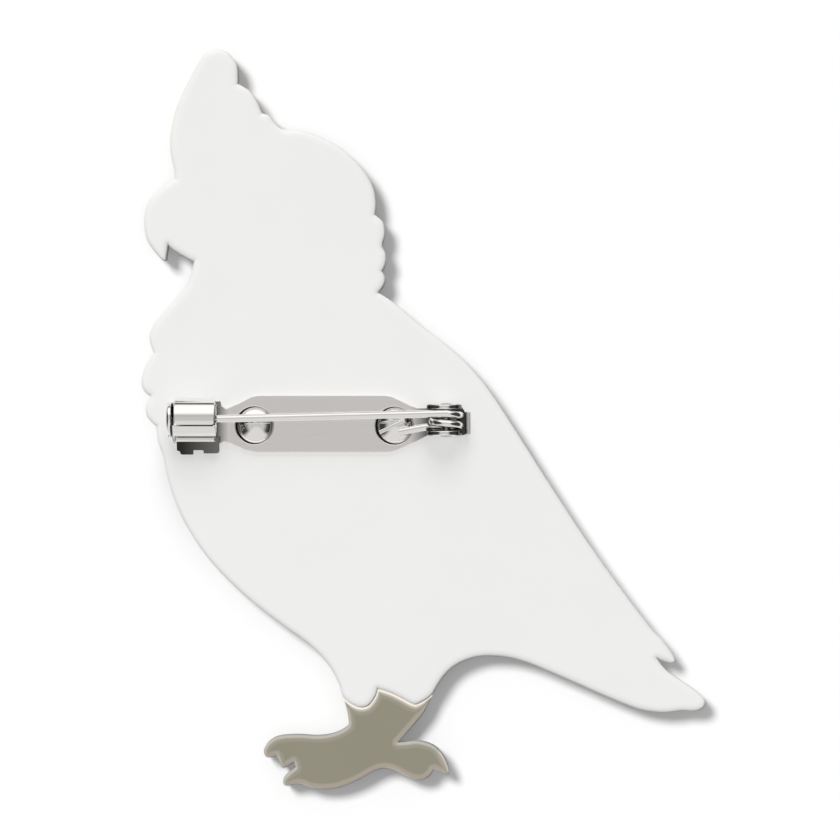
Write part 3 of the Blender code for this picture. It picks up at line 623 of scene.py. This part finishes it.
def cap(lines, rim, rings, extra):
    """Points, depths and triangles of a flat face whose edge falls away within the rim."""
    points = [np.concatenate(lines)]
    depths = [rim * (1 - math.cos(math.pi / 2 * k / rings)) for k in range(1, rings + 1)]
    for depth in depths + [rim * INNER_RING + RING_GAP]:
        found = np.concatenate([ring(line, depth) for line in lines])
        kept = (distances(found, lines) > depth * RING_KEPT) & inside(found, lines)
        points.append(found[kept])
    if len(extra):
        kept = (distances(extra, lines) > rim * FLAT_START + RING_GAP) & inside(extra, lines)
        points.append(extra[kept])
    edges, first = [], 0
    for line in lines:
        edges += [(first + i, first + (i + 1) % len(line)) for i in range(len(line))]
        first += len(line)
    flat = [Vector(point) for point in np.concatenate(points)]
    made = delaunay_2d_cdt(flat, edges, [], 0, 1e-6)
    verts, faces, origins = np.array([tuple(v) for v in made[0]]), np.array(made[2]), made[3]
    faces = faces[inside(verts[faces].mean(1), lines)]
    index = {}
    for place, sources in enumerate(origins):
        for source in sources:
            index[source] = place
    outline = [index[i] for i in range(first)]
    depth = np.minimum(distances(verts, lines), rim)
    depth[outline] = 0.0
    return verts, depth, faces, outline


def fall(depth, rim):
    """How far a rounded edge has fallen at each depth within the rim."""
    if rim == 0:
        return np.zeros(len(depth))
    return rim - np.sqrt(np.maximum(rim ** 2 - (rim - depth) ** 2, 0.0))


def slab(name, lines, low, high, rims, rings=(4, 8), extra=(), shape=None):
    """A flat piece between two heights, rounded at its low and high edges. Its first line is its edge and
    the others are holes. shape, if given, maps its points, for instance to bend it."""
    lines = [lines[0]] + [line[::-1] for line in lines[1:]]
    extra = np.array(extra).reshape(-1, 2)
    under, under_depth, under_faces, under_edge = cap(lines, rims[0], rings[0], extra)
    over, over_depth, over_faces, over_edge = cap(lines, rims[1], rings[1], extra)
    low_points = np.column_stack([under, low + fall(under_depth, rims[0])])
    high_points = np.column_stack([over, high - fall(over_depth, rims[1])])
    faces = [tuple(face[::-1]) for face in under_faces]
    faces += [tuple(face + len(under)) for face in over_faces]
    first = 0
    for line in lines:
        for i in range(len(line)):
            a, b = first + i, first + (i + 1) % len(line)
            above_a, above_b = over_edge[a] + len(under), over_edge[b] + len(under)
            faces.append((under_edge[a], under_edge[b], above_b, above_a))
        first += len(line)
    points = np.concatenate([low_points, high_points])
    if shape:
        points = shape(points)
    return mesh_piece(name, points, faces)


def mesh_piece(name, points, faces):
    """A closed mesh with its faces pointing out, shaded smooth."""
    mesh = bpy.data.meshes.new(name)
    verts = [tuple(point) for point in np.asarray(points) * MM]
    mesh.from_pydata(verts, [], [tuple(map(int, face)) for face in faces])
    bm = bmesh.new()
    bm.from_mesh(mesh)
    bmesh.ops.remove_doubles(bm, verts=bm.verts, dist=1e-8)
    bmesh.ops.recalc_face_normals(bm, faces=bm.faces)
    bm.to_mesh(mesh)
    bm.free()
    mesh.shade_smooth()
    obj = bpy.data.objects.new(name, mesh)
    bpy.context.scene.collection.objects.link(obj)
    return obj


def grid(low, high, step):
    """Points over a rectangle, about a step apart."""
    xs = np.arange(low[0] + step / 2, high[0], step)
    ys = np.arange(low[1] + step / 2, high[1], step)
    return np.stack(np.meshgrid(xs, ys), -1).reshape(-1, 2)


def put(obj, body, look, slot, *nodes):
    """Gives a piece its material and its body, and hides the CAD nodes that it stands for."""
    obj.data.materials.clear()
    obj.data.materials.append(look)
    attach(obj, body)
    if nodes:
        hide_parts(*nodes)
    return obj


# --- The bird -------------------------------------------------------------------------------------
def thick_layer(name, node, rim, look, slot):
    """The body or the leg, with the edge of its back rounded by the rim."""
    low, high = low_of(node).z, high_of(node).z
    line = smooth(slice_lines(node, (low + high) / 2)[0], OUTLINE_STEP)
    piece = slab(name, [line], low, high, (FACE_RIM, rim), (3, 9))
    return put(piece, "brooch", look, slot, node)


def seam(look):
    """The line of glue between the body's feathers and the leg, a little below both."""
    middle = (low_of("body_layer").z + high_of("body_layer").z) / 2
    body = smooth(slice_lines("body_layer", middle)[0], OUTLINE_STEP)
    leg = smooth(slice_lines("leg_layer", middle)[0], OUTLINE_STEP)
    near = distances(leg, [body]) < SEAM_REACH
    first = next(i for i in range(len(leg)) if near[i] and not near[i - 1])
    run = np.roll(leg, -first, 0)[1:near.sum() - 1]
    along = np.gradient(run, axis=0)
    across = np.stack([-along[:, 1], along[:, 0]], 1) / np.linalg.norm(along, axis=1)[:, None]
    sides = [run + across * SEAM_SIDES[0], (run - across * SEAM_SIDES[1])[::-1]]
    top = high_of("leg_layer").z - SEAM_DROP
    line = anticlockwise(np.concatenate(sides))
    piece = slab("seam_glue", [line], top - SEAM_DEPTH, top, (0.0, 0.0), (1, 1))
    return put(piece, "brooch", look, "white_acrylic", "body_layer")


def overlay(node, look, slot):
    """One of the thin pieces on the bird's face."""
    low, high = low_of(node).z, high_of(node).z
    line = smooth(slice_lines(node, (low + high) / 2)[0], OVERLAY_STEP)
    piece = slab(node + "_piece", [line], low, high, (FACE_RIM, UNDER_RIM), (4, 1))
    return put(piece, "brooch", look, slot, node)


# --- The bar pin ----------------------------------------------------------------------------------
def base_plate(look):
    """The pin's flat plate, with its two round holes."""
    edge, *holes = slice_lines("base_plate", PLATE_LOW + 0.1)
    lines = [sharp(edge, METAL_STEP)]
    for hole in holes:
        centre = (hole.min(0) + hole.max(0)) / 2
        lines.append(circle(centre, (hole.max(0) - hole.min(0)).mean() / 2, 96))
    piece = slab("pin_plate", lines, PLATE_LOW, PLATE_TOP, (UNDER_RIM, METAL_RIM), (1, 4))
    return put(piece, "brooch", look, "nickel_plate", "base_plate")


def arch(centre, radius, root, step):
    """An upright strip with straight sides and a round top."""
    turns = np.linspace(0, math.pi, max(8, round(math.pi * radius / step)))
    top = np.stack([centre[0] + radius * np.cos(turns), centre[1] + radius * np.sin(turns)], 1)
    return sharp(np.concatenate([[(centre[0] + radius, root)], top, [(centre[0] - radius, root)]]), step)


def ear(name, inner, outward, look):
    """One of the hinge's two ears. Its inner face is at Y inner, and its thickness runs outward in Y."""
    line = arch((EAR_X, HINGE.z), EAR_R, PLATE_MIDDLE, METAL_STEP)

    def stand(points):
        y = inner + outward * points[:, 2]
        return np.column_stack([points[:, 0], y, points[:, 1]])

    piece = slab(name, [line], 0.0, SHEET, EAR_RIMS, (3, 4), shape=stand)
    return put(piece, "brooch", look, "nickel_plate", "base_plate")


def lug(look):
    """The upright lug at the catch's closed end."""
    line = arch((LUG_Y, CATCH.z), LUG_R, PLATE_MIDDLE, METAL_STEP)

    def stand(points):
        return np.column_stack([LUG_X[1] - points[:, 2], points[:, 0], points[:, 1]])

    piece = slab("catch_lug", [line], 0.0, LUG_X[1] - LUG_X[0], LUG_RIMS, (3, 6), shape=stand)
    return put(piece, "brooch", look, "nickel_plate", "base_plate")


def path_frame(path, along):
    """Places and outward normals on a line of (y, z) points, at distances along it."""
    path = np.array(path)
    sides = np.diff(path, axis=0)
    lengths = np.linalg.norm(sides, axis=1)
    marks = np.concatenate([[0], np.cumsum(lengths)])
    directions = sides / lengths[:, None]
    at_points = np.vstack([directions[:1], (directions[1:] + directions[:-1]) / 2, directions[-1:]])
    place = np.stack([np.interp(along, marks, path[:, k]) for k in (0, 1)], 1)
    heading = np.stack([np.interp(along, marks, at_points[:, k]) for k in (0, 1)], 1)
    heading /= np.linalg.norm(heading, axis=1)[:, None]
    return place, np.stack([-heading[:, 1], heading[:, 0]], 1), marks[-1]


def arc(centre, radius, start, end, count):
    turns = np.radians(np.linspace(start, end, count))
    return [(centre[0] + radius * math.cos(a), centre[1] + radius * math.sin(a)) for a in turns]


def bent_strip(name, line, path, thickness, rims):
    """Sheet bent along a path of (y, z): its outline is drawn as (distance along the path, x)."""
    extra = grid(line.min(0), line.max(0), SHEET_STEP)

    def bend(points):
        place, normal, _ = path_frame(path, points[:, 0])
        off = place + normal * points[:, 2:3]
        return np.column_stack([points[:, 1], off])

    return slab(name, [line], -thickness / 2, thickness / 2, rims, (3, 3), extra, bend)


def sleeve(look):
    """The turning sleeve: a sheet rolled over the catch."""
    path = arc((CATCH.y, CATCH.z), SLEEVE_R - SLEEVE_T / 2, SLEEVE_EDGE, SLEEVE_END, 100)
    total = path_frame(path, np.zeros(1))[2]
    low, high = SLEEVE_X
    corners = [(0, low), (total, low), (total, high), (0, high)]
    line = rounded(corners, (SLEEVE_CORNER, SHEET_CORNER, SHEET_CORNER, SLEEVE_CORNER), METAL_STEP)
    piece = bent_strip("catch_barrel", line, path, SLEEVE_T, SLEEVE_RIMS)
    return put(piece, "sleeve", look, "nickel_plate", "catch_sleeve")


def tab(look):
    """The tab that turns the sleeve, with a notch in its lower edge."""
    root = arc((CATCH.y, CATCH.z), SLEEVE_R - SLEEVE_T / 2, TAB_ROOT, TAB_ROOT, 1)[0]
    path = [root, TAB_TIP]
    total = path_frame(path, np.zeros(1))[2]
    notch = total - TAB_NOTCH_DEPTH
    corners = [
        (0, TAB_X[0]), (total - 0.5, TAB_X[0]), (total - 0.4, TAB_X[0] + 0.3), (total, TAB_X[0] + 0.4),
        (total, TAB_NOTCH[0]), (notch, TAB_NOTCH[0]), (notch, TAB_NOTCH[1]), (total - 0.15, TAB_NOTCH[1]),
        (total - 0.15, TAB_X[1] - 0.1), (total - 0.5, TAB_X[1]), (0, TAB_X[1]),
    ]
    line = rounded(corners, (0, 0.1, 0.1, 0.2, 0.1, 0.1, 0.1, 0.1, 0.3, 0.2, 0), METAL_STEP)
    piece = bent_strip("catch_tab", line, path, TAB_T, TAB_RIMS)
    return put(piece, "sleeve", look, "nickel_plate", "catch_sleeve")


def trough(look):
    """The rolled trough inside the sleeve, which the needle lies in."""
    middle = TROUGH_R - TROUGH_T / 2
    path = arc((CATCH.y, CATCH.z), middle, *TROUGH_ARC, 80)
    total = path_frame(path, np.zeros(1))[2]
    start = LUG_X[1] - TROUGH_IN_LUG
    corners = [(0, start), (total, start), (total, TROUGH_END_X), (0, TROUGH_END_X)]
    line = rounded(corners, (0, 0, TROUGH_CORNER, TROUGH_CORNER), METAL_STEP)
    piece = bent_strip("catch_trough", line, path, TROUGH_T, TROUGH_RIMS)
    return put(piece, "brooch", look, "nickel_plate", "base_plate")


def stop(look):
    """The lip at the plate's end, bent up behind the coil. Its path is in x and z, and its width in y."""
    upright = STOP_END_X - SHEET / 2
    radius = upright - PLATE_END_X
    path = [(PLATE_END_X - SHEET, PLATE_MIDDLE)]
    path += arc((upright - radius, PLATE_MIDDLE + radius), radius, -90, 0, 16)
    path.append((upright, PLATE_TOP + STOP_RISE))
    total = path_frame(path, np.zeros(1))[2]
    corners = [(0, STOP_Y[1]), (total, STOP_Y[1]), (total, STOP_Y[0]), (0, STOP_Y[0])]
    line = rounded(corners, (0, SHEET_CORNER, SHEET_CORNER, 0), METAL_STEP)
    piece = bent_strip("hinge_stop", line, path, STOP_T, STOP_RIMS)
    swap_x_and_y = Matrix(((0, 1, 0, 0), (1, 0, 0, 0), (0, 0, 1, 0), (0, 0, 0, 1)))
    piece.data.transform(swap_x_and_y)
    piece.data.flip_normals()
    return put(piece, "brooch", look, "nickel_plate", "base_plate")


def lathe(name, profile, axis_place, turn, count):
    """A solid turned round its own Z, from a profile of (radius, height) whose ends lie on the axis."""
    points, faces = [(0, 0, profile[0][1])], []
    inner = profile[1:-1]
    for radius, height in inner:
        ring_points = circle((0, 0), radius, count)
        points += [(x, y, height) for x, y in ring_points]
    points.append((0, 0, profile[-1][1]))
    last = len(points) - 1
    for i in range(count):
        j = (i + 1) % count
        faces.append((0, 1 + i, 1 + j))
        for k in range(len(inner) - 1):
            a, b = 1 + k * count, 1 + (k + 1) * count
            faces.append((a + i, b + i, b + j, a + j))
        faces.append((last, last - count + j, last - count + i))
    piece = mesh_piece(name, points, faces)
    piece.data.transform(Matrix.Translation(Vector(axis_place) * MM) @ turn)
    piece.data.set_sharp_from_angle(angle=math.radians(ROUND_CREASE))
    return piece


def stud(number, look, gap_shade_look):
    """The round head of a stud in one of the plate's holes, a little tilted, and a black disc under it in
    the hole: painted shade for the gap round the head.
    """
    node = f"stud_{number}"
    low, high = low_of(node), high_of(node)
    hole, radius = (low + high) / 2, STUD_R
    middle = hole + Vector((*STUD_SHIFT, 0))
    rise = high.z - PLATE_LOW - STUD_SIDE
    ball = (radius ** 2 + rise ** 2) / (2 * rise)
    profile = [(0, high.z)]
    for k in range(1, STUD_STEPS + 1):
        reach = radius * k / STUD_STEPS
        profile.append((reach, high.z - ball + math.sqrt(ball ** 2 - reach ** 2)))
    profile += [(radius, low.z), (0, low.z)]
    piece = lathe(f"{node}_head", profile, (middle.x, middle.y, 0), Matrix.Identity(4), ROUND_SIDES)
    for vertex in piece.data.vertices:
        place = vertex.co / MM
        if place.z > low.z + 0.01:
            across = (place.x - middle.x) / radius
            vertex.co.z += STUD_LEAN * (across - 1) * MM
    put(piece, "brooch", look, "nickel_plate", node)
    line = circle((hole.x, hole.y), HOLE_R, ROUND_SIDES)
    collar = slab(f"{node}_gap", [line], PLATE_LOW - GAP_HALF, PLATE_LOW + GAP_HALF, (0.0, 0.0), (1, 1))
    return put(collar, "brooch", gap_shade_look, "nickel_plate", node)


def bar(look):
    """The narrow strip that crosses the second stud's head on a slant."""
    ends = np.array(BAR_ENDS)
    along = (ends[1] - ends[0]) / np.linalg.norm(ends[1] - ends[0])
    side = np.array((-along[1], along[0])) * BAR_WIDTH / 2
    corners = [ends[0] - side, ends[1] - side, ends[1] + side, ends[0] + side]
    line = rounded(corners, (BAR_CORNER,) * 4, METAL_STEP)
    piece = slab("stud_2_bar", [line], *BAR_Z, BAR_RIMS, (1, 4))
    return put(piece, "brooch", look, "nickel_plate", "stud_2")


def rivet(look):
    """The hinge pin, with a low domed head outside each ear."""
    crest_side, foot_side = EAR_INNER[0] + SHEET, EAR_INNER[1] - SHEET
    dome = [(HEAD_R * math.sin(a), HEAD_T * math.cos(a)) for a in np.radians(np.linspace(0, 90, 9))]
    profile = [(radius, crest_side + height) for radius, height in dome]
    profile += [(PIN_R, crest_side), (PIN_R, foot_side)]
    profile += [(radius, foot_side - height) for radius, height in dome[::-1]]
    lying = Matrix.Rotation(-math.pi / 2, 4, "X")
    piece = lathe("hinge_pin", profile, (HINGE.x, 0, HINGE.z), lying, 40)
    return put(piece, "brooch", look, "nickel_plate", "hinge_rivet")


def coil_point(turn):
    """The middle of the wire after so many turns of the coil, counted from the needle's side."""
    angle = math.pi / 2 - 2 * math.pi * turn
    if turn <= 1:
        y = STRAND_Y[0] + (STRAND_Y[1] - STRAND_Y[0]) * turn
    else:
        y = STRAND_Y[1] + (TAIL_Y - STRAND_Y[1]) * (turn - 1) * 2
    return Vector((HINGE.x + COIL_R * math.cos(angle), y, HINGE.z + COIL_R * math.sin(angle)))


def needle_path():
    """The wire's middle and radius, from the point through the coil to the end of the spring's leg."""
    mouth = Vector((MOUTH[0] - HINGE.x, CATCH.z - HINGE.z))
    lift = math.atan2(-mouth.y, -mouth.x) + math.asin(COIL_R / mouth.length)
    leave = coil_point(-lift / (2 * math.pi))
    leave.y = STRAND_Y[0]
    run = Vector((-1, (leave.y - MOUTH[1]) / (MOUTH[0] - leave.x), -math.tan(lift)))
    tip_x = low_of("needle").x
    path, radii = [], []
    for share in np.linspace(0, 1, 15):
        path.append(leave + run * (leave.x - tip_x - POINT_LENGTH * share))
        radii.append(WIRE_R * max(0.05, math.sin(math.pi / 2 * share) ** 0.8))
    shoulder = path[-1].copy()
    for share in np.linspace(0, 1, 40)[1:]:
        path.append(shoulder.lerp(leave, share))
        radii.append(WIRE_R)
    for step in range(int(1.5 * COIL_STEPS) + 1):
        path.append(coil_point(step / COIL_STEPS))
        radii.append(WIRE_R)
    low_z = path[-1].z
    bend, end = Vector((*TAIL_BEND, low_z)), Vector((*TAIL_END, low_z))
    start = path[-1].copy()
    for share in np.linspace(0, 1, 8)[1:-1]:
        path.append(start.lerp(bend, share))
    a = bend + (start - bend).normalized() * TAIL_CORNER
    b = bend + (end - bend).normalized() * TAIL_CORNER
    for t in (k / 6 for k in range(7)):
        path.append(a * (1 - t) ** 2 + bend * 2 * t * (1 - t) + b * t * t)
    for share in np.linspace(0, 1, 8)[1:]:
        path.append(b.lerp(end, share))
    radii += [WIRE_R] * (len(path) - len(radii))
    return path, radii


def tube(name, path, radii, sides):
    """A round wire along a path, closed at both ends."""
    count = len(path)
    tangents = []
    for i in range(count):
        tangents.append((path[min(i + 1, count - 1)] - path[max(i - 1, 0)]).normalized())
    normal = Vector((0, 1, 0))
    points = [tuple(path[0] - tangents[0] * radii[0] * 0.6)]
    for place, tangent, radius in zip(path, tangents, radii):
        normal = (normal - tangent * normal.dot(tangent)).normalized()
        other = tangent.cross(normal)
        for k in range(sides):
            angle = 2 * math.pi * k / sides
            points.append(tuple(place + (normal * math.cos(angle) + other * math.sin(angle)) * radius))
    points.append(tuple(path[-1]))
    faces = []
    last = len(points) - 1
    for k in range(sides):
        j = (k + 1) % sides
        faces.append((0, 1 + j, 1 + k))
        for i in range(count - 1):
            a, b = 1 + i * sides, 1 + (i + 1) * sides
            faces.append((a + k, a + j, b + j, b + k))
        faces.append((last, last - sides + k, last - sides + j))
    piece = mesh_piece(name, points, faces)
    piece.data.set_sharp_from_angle(angle=math.radians(WIRE_CREASE))
    return piece


def needle(look):
    """One wire: needle, coil and the spring's leg."""
    path, radii = needle_path()
    piece = tube("needle_wire", path, radii, WIRE_SIDES)
    piece.data.materials.append(look)
    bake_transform(piece)
    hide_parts("needle", "spring_tail")
    return piece


# --- Studio ---------------------------------------------------------------------------------------
def white_floor():
    """The white sheet that the brooch lies on. The metal mirrors the world in its place."""
    square = ((-1, -1), (1, -1), (1, 1), (-1, 1))
    corners = [(x * FLOOR_REACH, y * FLOOR_REACH, FLOOR_LOW) for x, y in square]
    floor = mesh_piece("floor", corners, [(0, 1, 2, 3)])
    made, _, _, shader = new_material("floor_white")
    shader.inputs["Base Color"].default_value = (FLOOR_WHITE, FLOOR_WHITE, FLOOR_WHITE, 1)
    shader.inputs["Roughness"].default_value = 1.0
    shader.inputs["Specular IOR Level"].default_value = 0.0
    floor.data.materials.append(made)
    floor.visible_glossy = False


def ramp(nodes, links, angle, marks):
    """Brightness read from marks of (degrees, brightness)."""
    shades = []
    for degrees, brightness in marks:
        grey = brightness / RAMP_FULL
        shades.append((degrees / 180, (grey, grey, grey, 1)))
    colour = tones(nodes, links, math_node(nodes, links, "DIVIDE", angle, math.pi), shades)
    split = nodes.new("ShaderNodeSeparateColor")
    links.new(colour, split.inputs["Color"])
    return math_node(nodes, links, "MULTIPLY", split.outputs["Red"], RAMP_FULL)


def blend_node(nodes, links, share, first, second):
    """One number where share is 0, the other where it is 1."""
    rest = math_node(nodes, links, "SUBTRACT", 1.0, share)
    return math_node(nodes, links, "ADD", math_node(nodes, links, "MULTIPLY", first, rest),
                     math_node(nodes, links, "MULTIPLY", second, share))


def studio_world():
    """A soft studio: a bright bank beyond the crest, a card at the feet, dark sides, a soft ceiling."""
    world = bpy.data.worlds.new("studio")
    bpy.context.scene.world = world
    world.use_nodes = True
    nodes, links = world.node_tree.nodes, world.node_tree.links
    place = nodes.new("ShaderNodeTexCoord")
    split = nodes.new("ShaderNodeSeparateXYZ")
    links.new(place.outputs["Generated"], split.inputs["Vector"])
    x, y, z = split.outputs
    angle = math_node(nodes, links, "ARCCOSINE", z)
    squares = [math_node(nodes, links, "MULTIPLY", side, side) for side in (x, y)]
    level = math_node(nodes, links, "SQRT", math_node(nodes, links, "ADD", *squares))
    heading = math_node(nodes, links, "DIVIDE", y, math_node(nodes, links, "MAXIMUM", level, 0.001))
    back = step_node(nodes, links, heading, *HEADING_EDGE)
    front = step_node(nodes, links, math_node(nodes, links, "MULTIPLY", heading, -1.0), *HEADING_EDGE)
    sides, crest, feet = (ramp(nodes, links, angle, marks) for marks in (TO_SIDES, TO_CREST, TO_FEET))
    seen = blend_node(nodes, links, back, sides, crest)
    seen = blend_node(nodes, links, front, seen, feet)
    rays = nodes.new("ShaderNodeLightPath")
    background = nodes["Background"]
    background.inputs["Color"].default_value = SKY_TINT
    links.new(blend_node(nodes, links, rays.outputs["Is Diffuse Ray"], seen, SKY_LIGHT),
              background.inputs["Strength"])


def sun(name, towards, share, width, blockers):
    """A soft distant lamp that only the given pieces stop. share is what it adds on a level surface."""
    towards = Vector(towards).normalized()
    lamp = bpy.data.lights.new(name, "SUN")
    lamp.energy = share * math.pi / towards.z
    lamp.angle = math.radians(width)
    obj = bpy.data.objects.new(name, lamp)
    bpy.context.scene.collection.objects.link(obj)
    obj.rotation_mode = "QUATERNION"
    obj.rotation_quaternion = towards.to_track_quat("Z", "Y")
    obj.visible_glossy = False
    stoppers = bpy.data.collections.new(name + "_blockers")
    for piece in blockers:
        stoppers.objects.link(piece)
    obj.light_linking.blocker_collection = stoppers


def lights(layers, metal):
    """A key from beyond the beak, which the layers stop, and a wide light from the crest, which the metal
    stops."""
    slope = math.tan(math.radians(KEY_TILT)) / math.sqrt(2)
    sun("key", (-slope, slope, 1), KEY_LIGHT, KEY_WIDTH, layers)
    sun("soft", (0, 1, 1), SOFT_LIGHT, SOFT_WIDTH, metal)


def camera():
    """Straight above the back. The lens is set so that VIEW_WIDTH fits the frame at the plate's top."""
    data = bpy.data.cameras.new("camera")
    data.sensor_width = SENSOR
    data.lens = SENSOR * (CAMERA_HEIGHT - PLATE_TOP) / VIEW_WIDTH
    data.clip_start = 0.01
    obj = bpy.data.objects.new("camera", data)
    bpy.context.scene.collection.objects.link(obj)
    obj.location = Vector((*VIEW_CENTRE, CAMERA_HEIGHT)) * MM
    bpy.context.scene.camera = obj


def main():
    white = acrylic("white_acrylic", *WHITE, soften=WHITE_SOFTEN)
    khaki = acrylic("khaki_acrylic", *KHAKI, soften=KHAKI_SOFTEN, edges=(PAINTED_EDGE_LIT, PAINTED_EDGE_UNLIT))
    pearl = acrylic("pearl_acrylic", *PEARL)
    yellow = acrylic("yellow_acrylic", *YELLOW)
    pale = acrylic("pale_yellow_acrylic", *PALE_YELLOW)
    dark = acrylic("dark_acrylic", *DARK)
    plate_metal = nickel("nickel_sheet", *SHEET_METAL, painted_shade=PLATE_PAINTED_SHADE)
    bright_metal = nickel("nickel_bright", *BRIGHT_METAL)
    trough_metal = nickel("nickel_trough", *BRIGHT_METAL, painted_shade=TROUGH_PAINTED_SHADE)
    ear_metal = nickel("nickel_ears", *BRIGHT_METAL, painted_shade=EAR_PAINTED_SHADE)
    stud_metal = nickel("nickel_studs", *STUD_METAL, depth=STUD_STREAK_DEPTH)
    tab_metal = nickel("nickel_tab", *BRIGHT_METAL, painted_shade=TAB_PAINTED_SHADE)
    stop_metal = nickel("nickel_stop", *STOP_METAL, painted_shade=STOP_PAINTED_SHADE)
    pin_metal = nickel("nickel_pin", *BRIGHT_METAL, painted_shade=PIN_PAINTED_SHADE)
    gap_shade = nickel("painted_gap_shade", *PAINTED_GAP_SHADE)
    wire_metal = nickel("nickel_wire", *WIRE_METAL)
    body = thick_layer("body", "body_layer", BODY_RIM, white, "white_acrylic")
    leg = thick_layer("leg", "leg_layer", LEG_RIM, khaki, "leg_acrylic")
    overlays = {
        "beak_overlay": (dark, "dark_acrylic"),
        "eye_overlay": (dark, "dark_acrylic"),
        "cheek_overlay": (pale, "pale_yellow_acrylic"),
        "wing_coverts": (pearl, "pearl_acrylic"),
        "breast_overlay": (pearl, "pearl_acrylic"),
        "tail_feather": (pearl, "pearl_acrylic"),
        "foot_overlay": (khaki, "leg_acrylic"),
    }
    for number in range(1, 4):
        overlays[f"crest_plume_{number}"] = (yellow, "yellow_acrylic")
    for number in range(1, 6):
        overlays[f"wing_feather_{number}"] = (pearl, "pearl_acrylic")
    seam(acrylic("seam_cream", *CREAM, CREAM_ROUGH))
    layers = [body, leg]
    for node, (look, slot) in overlays.items():
        layers.append(overlay(node, look, slot))
    metal = [
        base_plate(plate_metal),
        ear("hinge_ear_crest_side", EAR_INNER[0], 1, ear_metal),
        ear("hinge_ear_foot_side", EAR_INNER[1], -1, ear_metal),
        lug(bright_metal),
        trough(trough_metal),
        stop(stop_metal),
        sleeve(bright_metal),
        tab(tab_metal),
        rivet(pin_metal),
        needle(wire_metal),
        bar(bright_metal),
    ]
    for number in (1, 2):
        stud(number, stud_metal, gap_shade)
    white_floor()
    studio_world()
    lights(layers, metal)
    camera()
    bpy.context.scene.view_settings.view_transform = "Standard"


main()
